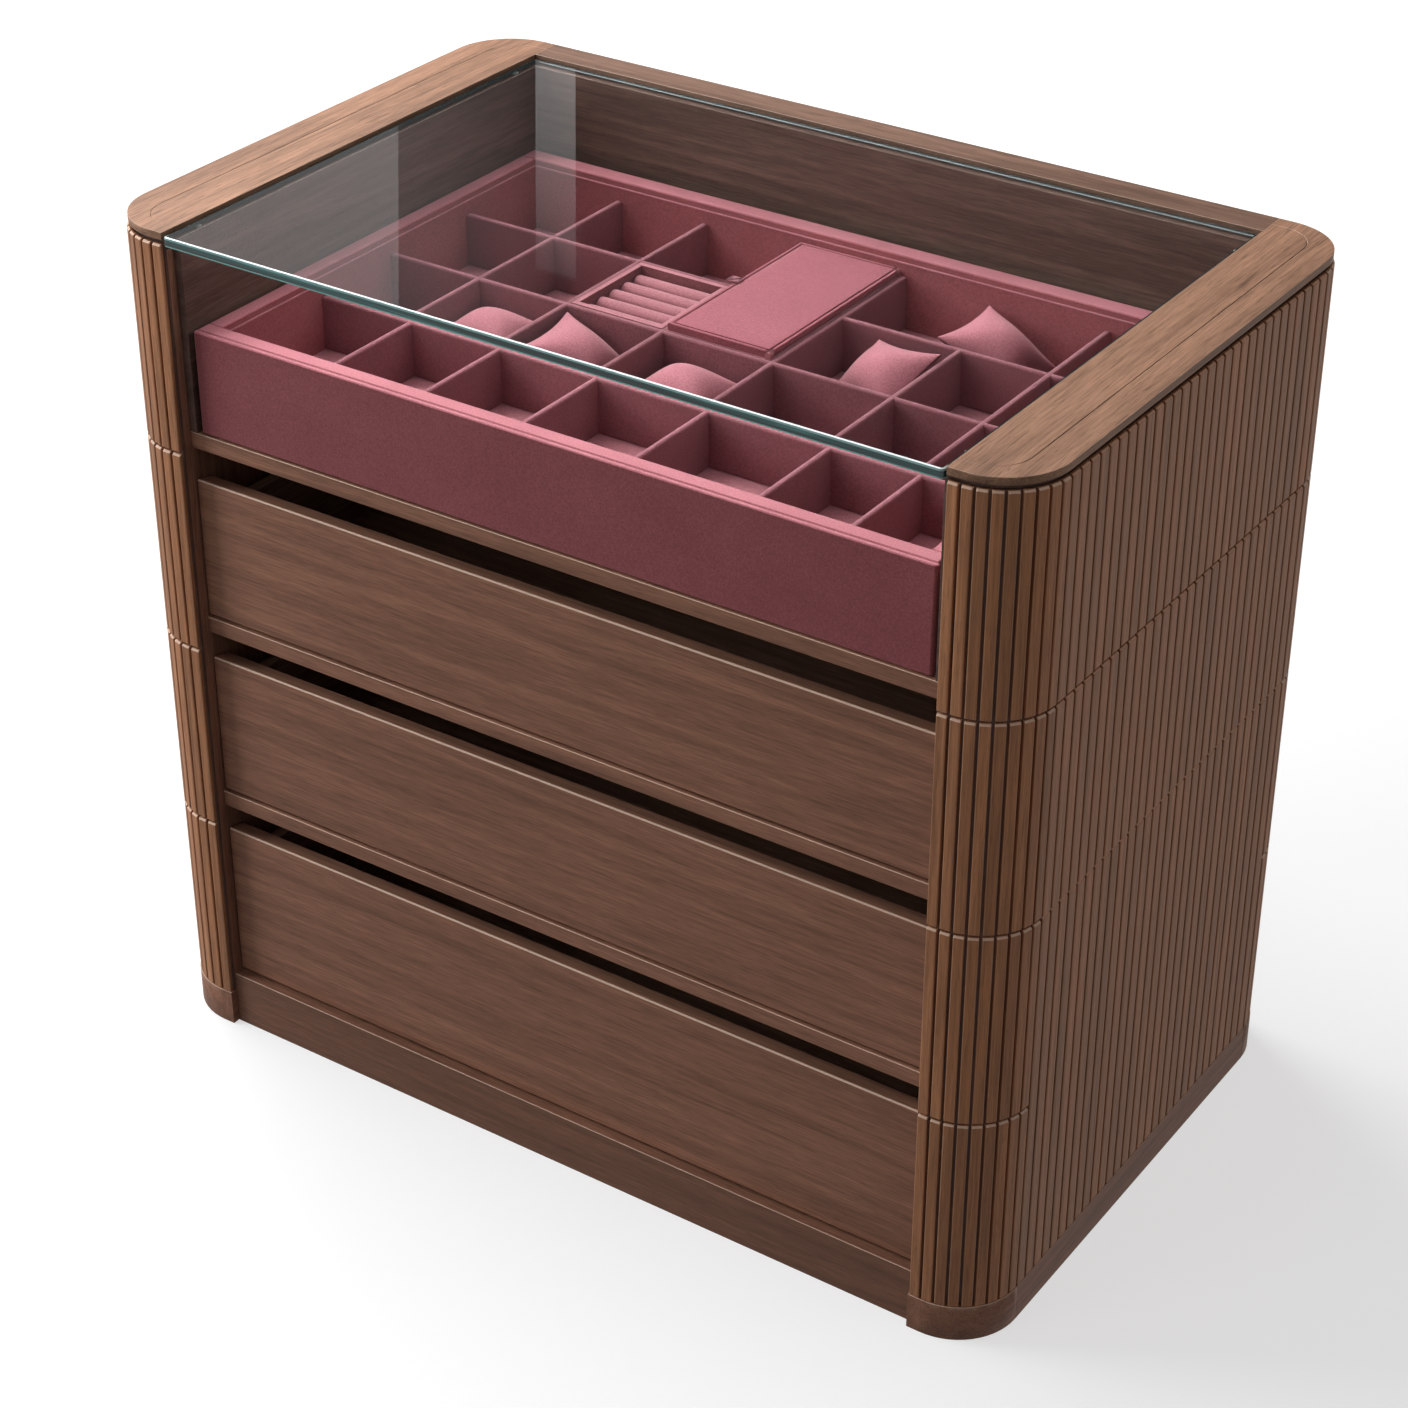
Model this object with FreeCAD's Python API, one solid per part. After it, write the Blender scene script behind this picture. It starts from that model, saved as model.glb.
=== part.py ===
"""Jewelry display cabinet: reeded walnut columns, a glass top over a compartmented tray, and three drawers.

Millimetres. +X to the right, +Y to the back, +Z up. The origin is on the floor, under the middle.
"""

import FreeCAD
import Part

import math
import os

V = FreeCAD.Vector

# Overall size
WIDTH = 990.0
DEPTH = 612.0
HEIGHT = 900.0

# Columns
COLUMN_W = 80.0
CORNER_R = 66.0
BASE_H = 40.0
BASE_BOARD_T = 18.0
GABLE_T = 18.0
LIPPING_T = 18.0
SIDE_PANEL_T = 12.0
TOP_BOARD_T = 12.0

# Reeding
SLAT_INSET = 0.6
SLAT_T = 7.0
GROOVE_W = 2.6
GROOVE_D = 4.0
SLAT_CHAMFER = 0.9
CORNER_SLATS = 9
SIDE_SLATS = 30
SLAT_TOP_GAP = 4.5
TIER_SHARES = (0.252, 0.494, 0.748)
TIER_GROOVE = 3.0
FINE_SEAM = 0.8

# Caps and back rail
CAP_T = 7.5
CAP_INSET = 2.2
BORDER_SIDE = 29.0
BORDER_END = 17.0
BORDER_R = 36.0
STRING_GAP = 0.9
TIGHT_SEAM = 0.25
BACK_RAIL_W = 35.8
REAR_BEAM_H = 60.0

# Glass
GLASS_T = 10.0
GLASS_DROP = 3.0
GLASS_GAP = 2.0
GLASS_SETBACK = 1.0
GLASS_R = 8.0
GLASS_ARRIS = 0.8
BUMPER_R = 3.2
BUMPER_H = 2.0
BUMPER_INSET = 30.0

# Bay behind the glass
LINER_T = 9.0
LINER_SETBACK = 16.0
BAY_BACK_T = 12.0

# Rails, panels and plinth
BAY_H = 192.0
RAIL_T = 17.0
RAIL_D = 30.0
RAIL_SETBACK = 16.0
BACK_PANEL_T = 9.0
BACK_PANEL_INSET = 3.0
PLINTH_H = 61.0
PLINTH_T = 18.0
PLINTH_SETBACK = 8.0
REAR_PLINTH_SETBACK = 40.0
SCREW_R = 4.0
SCREW_HEAD_H = 2.2
SCREW_INSET = 40.0

# Drawers, from the top
DRAWER_SHARES = (0.32, 0.322, 0.358)
FINGER_GAPS = (35.0, 29.5, 29.0)
FRONT_T = 20.0
FRONT_SETBACK = 18.0
FRONT_SIDE_GAP = 2.0
FRONT_FOOT_GAP = 3.5
FRONT_FALL = 4.0
FRONT_ARRIS = 1.5
BOX_WALL = 12.0
BOX_LIFT = 14.0
BOX_DROP = 30.0
BOX_REAR_GAP = 42.0
BOX_BOTTOM_T = 6.0
BOX_BOTTOM_LIFT = 8.0

# Telescopic runners
RUNNER_GAP = 12.7
RUNNER_H = 45.0
RUNNER_WALL = 1.2
RUNNER_PLAY = 0.3
RUNNER_WEB_PLAY = 0.7
RUNNER_LIP = 9.5
RUNNER_INSET = 7.0
RUNNER_SHORTFALL = 20.0

# Tray
TRAY_SIDE_GAP = 4.0
TRAY_SETBACK = 18.0
TRAY_REAR_GAP = 14.0
TRAY_LIFT = 2.0
TRAY_H = 105.0
TRAY_SIDE_WALL = 17.0
TRAY_END_WALL = 22.0
FACING_T = 4.5
FACING_R = 3.5
FACING_OVERHANG = 2.0
FACING_DROP = 1.0
FACING_GAP = 0.4
RIM_T = 7.0
RIM_LEDGE = 1.0
RIM_ARRIS = 1.0
TRAY_BASE_T = 12.0
CELL_DEPTH = 55.0
DIVIDER_DROP = 20.0
DIVIDER_T = 5.0

# Cells are named by a letter for the column, from the left, and a number for the row, from the front.
# The columns and rows that hold something have their own pitch, and the others share what is left.
PITCH_B = 106.0
PITCH_C = 112.0
PITCH_D = 123.0
PITCH_E = 130.0
SPARE_SHARES = (0.366, 0.318, 0.316)
PITCH_2 = 106.0
PITCH_3 = 122.0
PITCH_4 = 115.0
WIDE_CELL = "E4"
GLIDE_T = 1.7
GLIDE_W = 20.0
GLIDE_INSET = 14.0

# Ring insert
RING_CELL = "C3"
INSERT_FIT = 0.5
INSERT_BORDER = 6.0
INSERT_BASE_T = 30.0
ROLL_COUNT = 5
ROLL_R = 9.5
ROLL_END_R = 2.0
ROLL_FIT = 0.6
ROLL_REST = 0.3

# Lidded compartment, over two cells
LID_CELLS = ("D3", "D4")
LID_T = 6.0
LID_FIT = 1.0
LID_BORDER = 5.0
LID_REST = 0.3
LID_PIN_R = 1.2
LID_PIN_PLAY = 0.2
LID_PIN_L = 9.0
LID_EAR_L = 7.0
TAB_L = 14.0
TAB_W = 12.0
TAB_T = 2.0
TAB_R = 4.0

# Pillows
PILLOW_SIDE = 92.0
PILLOW_T = 52.0
PILLOW_DRAW = 5.0
PILLOW_CROWN = 2.2
PILLOW_EDGE = 0.62
PILLOW_REST = 0.3
PILLOW_LEVELS = (0.38, 0.72, 0.93, 1.0)
PILLOW_MIDDLE = 0.08
PILLOW_SIDE_RUNS = 4

# Each pillow: its cell, its turn in its own plane, its lean, the turn of its raised edge from the back,
# and where its middle lies across the cell and along it, as shares of the cell
PILLOWS = (
    ("pillow_1", "B2", 0, 0, 2, 0.5, 0.5),
    ("pillow_2", "C2", 0, 31, 96, 0.47, 0.5),
    ("pillow_3", "D2", 0, 0, -2, 0.48, 0.5),
    ("pillow_4", "E3", 22, 31, -38, 0.6, 0.53),
    ("pillow_5", "E4", 0, 29, 87, 0.61, 0.53),
)

FULL_TURN = math.degrees(math.tau)
FRONT = -DEPTH / 2
REAR = DEPTH / 2
HALF_WIDTH = WIDTH / 2
HALF_OPEN = HALF_WIDTH - COLUMN_W
CAP_UNDER = HEIGHT - CAP_T
COLUMN_TOP = CAP_UNDER - TOP_BOARD_T
SLAT_TOP = CAP_UNDER - SLAT_TOP_GAP
SUBSTRATE = SLAT_INSET + SLAT_T
GLASS_TOP = HEIGHT - GLASS_DROP
GLASS_UNDER = GLASS_TOP - GLASS_T
LEDGE = GLASS_UNDER - BUMPER_H
BACK_RAIL_FRONT = REAR - CAP_INSET - BACK_RAIL_W
BAY_BACK_FRONT = BACK_RAIL_FRONT - BAY_BACK_T
PANEL_REAR = REAR - BACK_PANEL_INSET
PANEL_FRONT = PANEL_REAR - BACK_PANEL_T
BOTTOM_UNDER = PLINTH_H - RAIL_T
SHELF_TOP = LEDGE - BAY_H
DRAWERS_H = SHELF_TOP - PLINTH_H - len(DRAWER_SHARES) * RAIL_T
BOX_FRONT = FRONT + FRONT_SETBACK + FRONT_T
BOX_REAR = PANEL_FRONT - BOX_REAR_GAP
RUNNER_FRONT = BOX_FRONT + RUNNER_INSET
RUNNER_L = BOX_REAR - BOX_FRONT - RUNNER_SHORTFALL
TRAY_HALF = HALF_OPEN - LINER_T - TRAY_SIDE_GAP
TRAY_FRONT = FRONT + TRAY_SETBACK
TRAY_REAR = BAY_BACK_FRONT - TRAY_REAR_GAP
TRAY_FOOT = SHELF_TOP + TRAY_LIFT
TRAY_TOP = TRAY_FOOT + TRAY_H
WALLS_HALF = TRAY_HALF - FACING_OVERHANG
CELLS_HALF = WALLS_HALF - TRAY_SIDE_WALL
CELLS_FRONT = TRAY_FRONT + TRAY_END_WALL
CELLS_REAR = TRAY_REAR - TRAY_END_WALL
DIVIDER_TOP = TRAY_TOP - DIVIDER_DROP
CELL_FLOOR = DIVIDER_TOP - CELL_DEPTH


def box(x0, x1, y0, y1, z0, z1):
    return Part.makeBox(x1 - x0, y1 - y0, z1 - z0, V(x0, y0, z0))


def mirrored(shape):
    return shape.mirror(V(0, 0, 0), V(1, 0, 0))


def both_sides(shapes):
    return shapes + [mirrored(s) for s in shapes]


def save(node, solids):
    shape = solids[0] if len(solids) == 1 else Part.makeCompound(solids)
    shape.exportStep(os.path.join("parts", node + ".step"))


def arc_edge(centre, radius, start, end):
    """Arc in the XY plane, between two angles in degrees."""
    angles = [math.radians(a) for a in (start, (start + end) / 2, end)]
    points = [V(centre.x + radius * math.cos(a), centre.y + radius * math.sin(a), 0) for a in angles]
    return Part.Arc(*points).toShape()


def prism(edges, z0, z1):
    face = Part.Face(Part.Wire(edges))
    face.translate(V(0, 0, z0))
    return face.extrude(V(0, 0, z1 - z0))


def line(a, b):
    return Part.LineSegment(a, b).toShape()


def rounded_column(x_in, inset_side, inset_end, radius, z0, z1):
    """Right column's footprint: square inner edge, both outer corners rounded."""
    x_out = HALF_WIDTH - inset_side
    y_front = FRONT + inset_end
    y_rear = REAR - inset_end
    low = V(x_out - radius, y_front + radius, 0)
    high = V(x_out - radius, y_rear - radius, 0)
    edges = [
        line(V(x_in, y_front, 0), V(low.x, y_front, 0)),
        arc_edge(low, radius, -90, 0),
        line(V(x_out, low.y, 0), V(x_out, high.y, 0)),
        arc_edge(high, radius, 0, 90),
        line(V(high.x, y_rear, 0), V(x_in, y_rear, 0)),
        line(V(x_in, y_rear, 0), V(x_in, y_front, 0)),
    ]
    return prism(edges, z0, z1)


def front_corner(x_in, inset, z0, z1):
    """Front outer corner of the right column, up to where the flat side starts."""
    radius = CORNER_R - inset
    centre = V(HALF_WIDTH - CORNER_R, FRONT + CORNER_R, 0)
    edges = [
        line(V(x_in, centre.y - radius, 0), V(centre.x, centre.y - radius, 0)),
        arc_edge(centre, radius, -90, 0),
        line(V(centre.x + radius, centre.y, 0), V(x_in, centre.y, 0)),
        line(V(x_in, centre.y, 0), V(x_in, centre.y - radius, 0)),
    ]
    return prism(edges, z0, z1)


def front_to_rear(shape):
    return shape.mirror(V(0, 0, 0), V(0, 1, 0))


def corner_path(s, depth):
    """Point of the slat face at distance s from the column's inner edge, sunk by depth."""
    radius = CORNER_R - SLAT_INSET
    centre = V(HALF_WIDTH - CORNER_R, FRONT + CORNER_R, 0)
    run = centre.x - HALF_OPEN
    if s <= run:
        return (HALF_OPEN + s, FRONT + SLAT_INSET + depth)
    turn = (s - run) / radius - math.pi / 2
    return (centre.x + (radius - depth) * math.cos(turn), centre.y + (radius - depth) * math.sin(turn))


def side_path(s, depth):
    return (HALF_WIDTH - SLAT_INSET - depth, FRONT + CORNER_R + s)


def reeded_outline(path, length, count):
    """Outer points of a run of slats, half a groove at each end."""
    pitch = length / count
    half = GROOVE_W / 2
    points = []
    for i in range(count):
        start, end = i * pitch + half, (i + 1) * pitch - half
        points += [
            path(start, GROOVE_D),
            path(start, SLAT_CHAMFER),
            path(start + SLAT_CHAMFER, 0),
            path(end - SLAT_CHAMFER, 0),
            path(end, SLAT_CHAMFER),
            path(end, GROOVE_D),
        ]
    return [path(0, GROOVE_D)] + points + [path(length, GROOVE_D)]


def reeded_band(path, length, count, backing, z0, z1):
    """Slats on their own backing. backing is the edges from the outline's end back to its start."""
    points = [V(x, y, 0) for x, y in reeded_outline(path, length, count)]
    edges = [line(a, b) for a, b in zip(points, points[1:])]
    return prism(edges + backing(points[-1], points[0]), z0, z1)


def corner_backing(end, start):
    centre = V(HALF_WIDTH - CORNER_R, FRONT + CORNER_R, 0)
    radius = CORNER_R - SUBSTRATE
    inner_end = V(centre.x + radius, centre.y, 0)
    turn_start = V(centre.x, centre.y - radius, 0)
    inner_start = V(HALF_OPEN, centre.y - radius, 0)
    return [
        line(end, inner_end),
        arc_edge(centre, radius, 0, -90),
        line(turn_start, inner_start),
        line(inner_start, start),
    ]


def side_backing(end, start):
    x = HALF_WIDTH - SUBSTRATE
    return [line(end, V(x, end.y, 0)), line(V(x, end.y, 0), V(x, start.y, 0)), line(V(x, start.y, 0), start)]


def tiers(seams):
    """Heights of the slat bands between the base, the given seams and the slats' top."""
    spans = []
    low = BASE_H
    for share, gap in seams:
        level = BASE_H + share * (SLAT_TOP - BASE_H)
        spans.append((low, level - gap / 2))
        low = level + gap / 2
    return spans + [(low, SLAT_TOP)]


def make_slats():
    corner_run = HALF_WIDTH - CORNER_R - HALF_OPEN + (CORNER_R - SLAT_INSET) * math.pi / 2
    side_run = DEPTH - 2 * CORNER_R
    corners = []
    for z0, z1 in tiers([(share, TIER_GROOVE) for share in TIER_SHARES]):
        band = reeded_band(corner_path, corner_run, CORNER_SLATS, corner_backing, z0, z1)
        corners += [band, front_to_rear(band)]
    sides = []
    for z0, z1 in tiers([(TIER_SHARES[1], FINE_SEAM), (TIER_SHARES[2], TIER_GROOVE)]):
        sides.append(reeded_band(side_path, side_run, SIDE_SLATS, side_backing, z0, z1))
    save("corner_slats_right", corners)
    save("corner_slats_left", [mirrored(s) for s in corners])
    save("side_slats_right", sides)
    save("side_slats_left", [mirrored(s) for s in sides])


def make_columns():
    gable = box(HALF_OPEN, HALF_OPEN + GABLE_T, FRONT + LIPPING_T, REAR - LIPPING_T, BASE_H, COLUMN_TOP)
    save("gables", both_sides([gable]))
    corner = front_corner(HALF_OPEN, SUBSTRATE, BASE_H, COLUMN_TOP)
    gable_strip = box(HALF_OPEN, HALF_OPEN + GABLE_T, FRONT, FRONT + CORNER_R, BASE_H, COLUMN_TOP)
    lipping_strip = box(HALF_OPEN, HALF_OPEN + GABLE_T, FRONT, FRONT + LIPPING_T, BASE_H, COLUMN_TOP)
    lipping = corner.common(lipping_strip).Solids[0]
    save("gable_lippings", both_sides([lipping, front_to_rear(lipping)]))
    post = corner.cut(gable_strip).Solids[0]
    save("corner_posts", both_sides([post, front_to_rear(post)]))
    x_out = HALF_WIDTH - SUBSTRATE
    y0, y1 = FRONT + CORNER_R, REAR - CORNER_R
    save("side_panels", both_sides([box(x_out - SIDE_PANEL_T, x_out, y0, y1, BASE_H, COLUMN_TOP)]))
    board = rounded_column(HALF_OPEN, SUBSTRATE, SUBSTRATE, CORNER_R - SUBSTRATE, COLUMN_TOP, CAP_UNDER)
    save("column_top_boards", both_sides([board]))


def make_base():
    block = front_corner(HALF_OPEN, 0, 0, BASE_H)
    save("base_corner_blocks", both_sides([block, front_to_rear(block)]))
    y0, y1 = FRONT + CORNER_R, REAR - CORNER_R
    side_board = box(HALF_WIDTH - BASE_BOARD_T, HALF_WIDTH, y0, y1, 0, BASE_H)
    sleeper = box(HALF_OPEN, HALF_OPEN + GABLE_T, y0, y1, 0, BASE_H)
    save("base_boards", both_sides([side_board, sleeper]))
    front = box(-HALF_OPEN, HALF_OPEN, FRONT + PLINTH_SETBACK, FRONT + PLINTH_SETBACK + PLINTH_T, 0, PLINTH_H)
    save("front_plinth", [front])
    y1 = REAR - REAR_PLINTH_SETBACK
    save("rear_plinth", [box(-HALF_OPEN, HALF_OPEN, y1 - PLINTH_T, y1, 0, BOTTOM_UNDER)])


def make_caps():
    """Each cap is a field framed on three sides by a border, with a fine dark line between them."""
    whole = rounded_column(HALF_OPEN, CAP_INSET, CAP_INSET, CORNER_R - CAP_INSET, CAP_UNDER, HEIGHT)
    window = rounded_column(
        HALF_OPEN, CAP_INSET + BORDER_SIDE, CAP_INSET + BORDER_END, BORDER_R, CAP_UNDER, HEIGHT
    )
    side_in = CAP_INSET + BORDER_SIDE + STRING_GAP
    end_in = CAP_INSET + BORDER_END + TIGHT_SEAM
    field = rounded_column(HALF_OPEN, side_in, end_in, BORDER_R - STRING_GAP, CAP_UNDER, HEIGHT)
    border = whole.cut(window)
    save("cap_fields", both_sides([field]))
    save("cap_borders", both_sides(border.Solids))
    save("back_top_rail", [box(-HALF_OPEN, HALF_OPEN, BACK_RAIL_FRONT, REAR - CAP_INSET, CAP_UNDER, HEIGHT)])
    save("rear_beam", [box(-HALF_OPEN, HALF_OPEN, BACK_RAIL_FRONT, PANEL_FRONT, CAP_UNDER - REAR_BEAM_H, CAP_UNDER)])


def make_glass():
    x1 = HALF_OPEN - GLASS_GAP
    glass = box(-x1, x1, FRONT + GLASS_SETBACK, BACK_RAIL_FRONT - GLASS_GAP, GLASS_UNDER, GLASS_TOP)
    upright = [e for e in glass.Edges if e.BoundBox.ZLength > GLASS_ARRIS]
    glass = glass.makeFillet(GLASS_R, upright)
    flat = [e for e in glass.Edges if e.BoundBox.ZLength < GLASS_ARRIS]
    save("glass_top", [glass.makeChamfer(GLASS_ARRIS, flat)])
    x = x1 - BUMPER_R
    bumpers = []
    for y in (FRONT + LINER_SETBACK + BUMPER_INSET, BAY_BACK_FRONT - BUMPER_INSET):
        bumpers.append(Part.makeCylinder(BUMPER_R, BUMPER_H, V(x, y, LEDGE)))
    save("glass_bumpers", both_sides(bumpers))


def make_bay():
    y0 = FRONT + LINER_SETBACK
    save("bay_liners", both_sides([box(HALF_OPEN - LINER_T, HALF_OPEN, y0, BAY_BACK_FRONT, SHELF_TOP, LEDGE)]))
    save("bay_back", [box(-HALF_OPEN, HALF_OPEN, BAY_BACK_FRONT, BACK_RAIL_FRONT, SHELF_TOP, LEDGE)])


def shelf_levels():
    """Top of the shelf under the tray and of those between the drawers, from the top."""
    levels = [SHELF_TOP]
    for share in DRAWER_SHARES[:-1]:
        levels.append(levels[-1] - RAIL_T - share * DRAWERS_H)
    return levels


def make_shelves():
    y0 = FRONT + RAIL_SETBACK
    rails = [box(-HALF_OPEN, HALF_OPEN, y0, y0 + RAIL_D, z - RAIL_T, z) for z in shelf_levels()]
    panels = [box(-HALF_OPEN, HALF_OPEN, y0 + RAIL_D, PANEL_FRONT, z - RAIL_T, z) for z in shelf_levels()]
    save("front_rails", rails)
    save("dust_panels", panels)
    y0 = FRONT + PLINTH_SETBACK + PLINTH_T
    save("bottom_panel", [box(-HALF_OPEN, HALF_OPEN, y0, PANEL_FRONT, BOTTOM_UNDER, PLINTH_H)])
    save("back_panel", [box(-HALF_OPEN, HALF_OPEN, PANEL_FRONT, PANEL_REAR, BOTTOM_UNDER, CAP_UNDER)])
    screws = []
    for z in [level - RAIL_T / 2 for level in shelf_levels()] + [BOTTOM_UNDER + RAIL_T / 2]:
        for x in (SCREW_INSET - HALF_OPEN, HALF_OPEN - SCREW_INSET):
            screws.append(Part.makeCylinder(SCREW_R, SCREW_HEAD_H, V(x, PANEL_REAR, z), V(0, 1, 0)))
    save("back_panel_screws", screws)


def channel(x_web, toward, height, lip, y0, z_mid):
    """C-shaped runner member. x_web is the web's outer face, toward is the side that the lips point to."""
    half = height / 2
    x0 = x_web
    x1 = x_web + toward * RUNNER_WALL
    x2 = x_web + toward * lip
    outline = [(x0, -half), (x2, -half), (x2, -half + RUNNER_WALL), (x1, -half + RUNNER_WALL)]
    outline += [(x1, half - RUNNER_WALL), (x2, half - RUNNER_WALL), (x2, half), (x0, half)]
    ring = [V(x, y0, z_mid + z) for x, z in outline]
    face = Part.Face(Part.Wire([line(a, b) for a, b in zip(ring, ring[1:] + ring[:1])]))
    return face.extrude(V(0, RUNNER_L, 0))


def make_runners(drawer, z_mid):
    """Returns the fixed members. The other two of each runner are saved with the drawer."""
    y0 = RUNNER_FRONT
    fixed = channel(HALF_OPEN, -1, RUNNER_H, RUNNER_LIP, y0, z_mid)
    middle_h = RUNNER_H - 2 * RUNNER_WALL - 2 * RUNNER_PLAY
    middle_x = HALF_OPEN - RUNNER_WALL - RUNNER_WEB_PLAY
    middle = channel(middle_x, -1, middle_h, RUNNER_LIP - RUNNER_WEB_PLAY, y0, z_mid)
    inner_h = middle_h - 2 * RUNNER_WALL - 2 * RUNNER_PLAY
    inner_x = HALF_OPEN - RUNNER_GAP
    inner_lip = middle_x - RUNNER_WALL - RUNNER_WEB_PLAY - inner_x
    inner = channel(inner_x, 1, inner_h, inner_lip, y0, z_mid)
    save(drawer + "_runner_middles", both_sides([middle]))
    save(drawer + "_runner_inners", both_sides([inner]))
    return both_sides([fixed])


def drawer_front(z0, height):
    """Plain front whose top falls away to the back behind a small arris, for the fingers."""
    y0, y1 = FRONT + FRONT_SETBACK, BOX_FRONT
    z1 = z0 + height
    half = HALF_OPEN - FRONT_SIDE_GAP
    outline = [(y0, z0), (y1, z0), (y1, z1 - FRONT_FALL), (y0 + FRONT_ARRIS, z1), (y0, z1 - FRONT_ARRIS)]
    ring = [V(-half, y, z) for y, z in outline]
    face = Part.Face(Part.Wire([line(a, b) for a, b in zip(ring, ring[1:] + ring[:1])]))
    return face.extrude(V(2 * half, 0, 0))


def make_drawers():
    ceilings = [level - RAIL_T for level in shelf_levels()]
    floors = shelf_levels()[1:] + [PLINTH_H]
    fixed = []
    for number, (ceiling, floor, finger_gap) in enumerate(zip(ceilings, floors, FINGER_GAPS), 1):
        drawer = "drawer_%d" % number
        z0 = floor + FRONT_FOOT_GAP
        height = ceiling - finger_gap - z0
        save(drawer + "_front", [drawer_front(z0, height)])
        half = HALF_OPEN - RUNNER_GAP
        y0, y1 = BOX_FRONT, BOX_REAR
        low, high = z0 + BOX_LIFT, z0 + height - BOX_DROP
        walls = [
            box(half - BOX_WALL, half, y0, y1, low, high),
            box(-half, -half + BOX_WALL, y0, y1, low, high),
            box(-half + BOX_WALL, half - BOX_WALL, y0, y0 + BOX_WALL, low, high),
            box(-half + BOX_WALL, half - BOX_WALL, y1 - BOX_WALL, y1, low, high),
        ]
        save(drawer + "_box", walls)
        x = half - BOX_WALL
        base = low + BOX_BOTTOM_LIFT
        save(drawer + "_bottom", [box(-x, x, y0 + BOX_WALL, y1 - BOX_WALL, base, base + BOX_BOTTOM_T)])
        fixed += make_runners(drawer, (low + high) / 2)
    save("runner_fixed_members", fixed)


def column_lines():
    """X of the middle of each front-to-back divider."""
    spare = 2 * CELLS_HALF - PITCH_B - PITCH_C - PITCH_D - PITCH_E
    first, sixth = SPARE_SHARES[0] * spare, SPARE_SHARES[1] * spare
    lines = []
    x = -CELLS_HALF
    for pitch in (first, PITCH_B, PITCH_C, PITCH_D, PITCH_E, sixth):
        x += pitch
        lines.append(x)
    return lines


def row_lines():
    """Y of the middle of each cross divider."""
    lines = []
    y = CELLS_REAR
    for pitch in (PITCH_4, PITCH_3, PITCH_2):
        y -= pitch
        lines.insert(0, y)
    return lines


def cell(name):
    """Clear floor of a cell: x0, x1, y0, y1. The wide cell takes in the next column too."""
    column, row = "ABCDEFG".index(name[0]), "1234".index(name[1])
    half = DIVIDER_T / 2
    xs, ys = column_lines(), row_lines()
    x0 = xs[column - 1] + half if column else -CELLS_HALF
    last = column + 1 if name == WIDE_CELL else column
    x1 = xs[last] - half if last < len(xs) else CELLS_HALF
    y0 = ys[row - 1] + half if row else CELLS_FRONT
    y1 = ys[row] - half if row < len(ys) else CELLS_REAR
    return x0, x1, y0, y1


def top_arris(bar):
    top = bar.BoundBox.ZMax
    return bar.makeChamfer(RIM_ARRIS, [e for e in bar.Edges if e.BoundBox.ZMin > top - RIM_ARRIS])


def make_tray_shell():
    """Walls, and a facing board in front of them that is a little wider and hides the front edge of the rim."""
    top = TRAY_TOP - RIM_T
    facing_y = TRAY_FRONT + FACING_T
    facing = box(-TRAY_HALF, TRAY_HALF, TRAY_FRONT, facing_y, TRAY_FOOT, TRAY_TOP - FACING_DROP)
    front_face = facing.BoundBox.YMin
    edges = [e for e in facing.Edges if e.BoundBox.YMax < front_face + FACING_GAP]
    facing = facing.makeFillet(FACING_R, [e for e in edges if e.BoundBox.ZLength > RIM_T])
    top_edges = [e for e in facing.Edges if e.BoundBox.ZMin > top and e.BoundBox.YMin < facing_y - FACING_GAP]
    facing = facing.makeChamfer(RIM_ARRIS, top_edges)
    walls = [
        box(-WALLS_HALF, WALLS_HALF, facing_y, CELLS_FRONT, TRAY_FOOT, top),
        box(-WALLS_HALF, WALLS_HALF, CELLS_REAR, TRAY_REAR, TRAY_FOOT, top),
    ]
    sides = both_sides([box(CELLS_HALF, WALLS_HALF, CELLS_FRONT, CELLS_REAR, TRAY_FOOT, top)])
    save("tray_walls", [facing] + walls + sides)
    x, y0, y1 = CELLS_HALF, CELLS_FRONT, CELLS_REAR
    base_top = TRAY_FOOT + TRAY_BASE_T
    save("tray_base", [box(-x, x, y0, y1, TRAY_FOOT, base_top)])
    save("tray_floor_pad", [box(-x, x, y0, y1, base_top, CELL_FLOOR)])


def make_tray_rim():
    """Four bars on top of the walls, the front and back ones running through, a ledge in from the cells."""
    z0, z1 = TRAY_TOP - RIM_T, TRAY_TOP
    x_in = CELLS_HALF + RIM_LEDGE
    y_front, y_rear = CELLS_FRONT - RIM_LEDGE, CELLS_REAR + RIM_LEDGE
    bars = [
        box(-WALLS_HALF, WALLS_HALF, TRAY_FRONT + FACING_T + FACING_GAP, y_front, z0, z1),
        box(-WALLS_HALF, WALLS_HALF, y_rear, TRAY_REAR, z0, z1),
    ]
    bars += both_sides([box(x_in, WALLS_HALF, y_front, y_rear, z0, z1)])
    save("tray_rim", [top_arris(bar) for bar in bars])


def make_dividers():
    half = DIVIDER_T / 2
    z0, z1 = CELL_FLOOR, DIVIDER_TOP
    long_ones = []
    for letter, x in zip("ABCDEF", column_lines()):
        y1 = cell(WIDE_CELL)[2] if letter == WIDE_CELL[0] else CELLS_REAR
        long_ones.append(box(x - half, x + half, CELLS_FRONT, y1, z0, z1))
    save("tray_long_dividers", long_ones)
    crosses = []
    for number, y in zip("123", row_lines()):
        for letter in "ABCDEFG":
            x0, x1 = cell(letter + number)[:2]
            if letter + number != LID_CELLS[0]:
                crosses.append(box(x0, x1, y - half, y + half, z0, z1))
    save("tray_cross_dividers", crosses)


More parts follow.
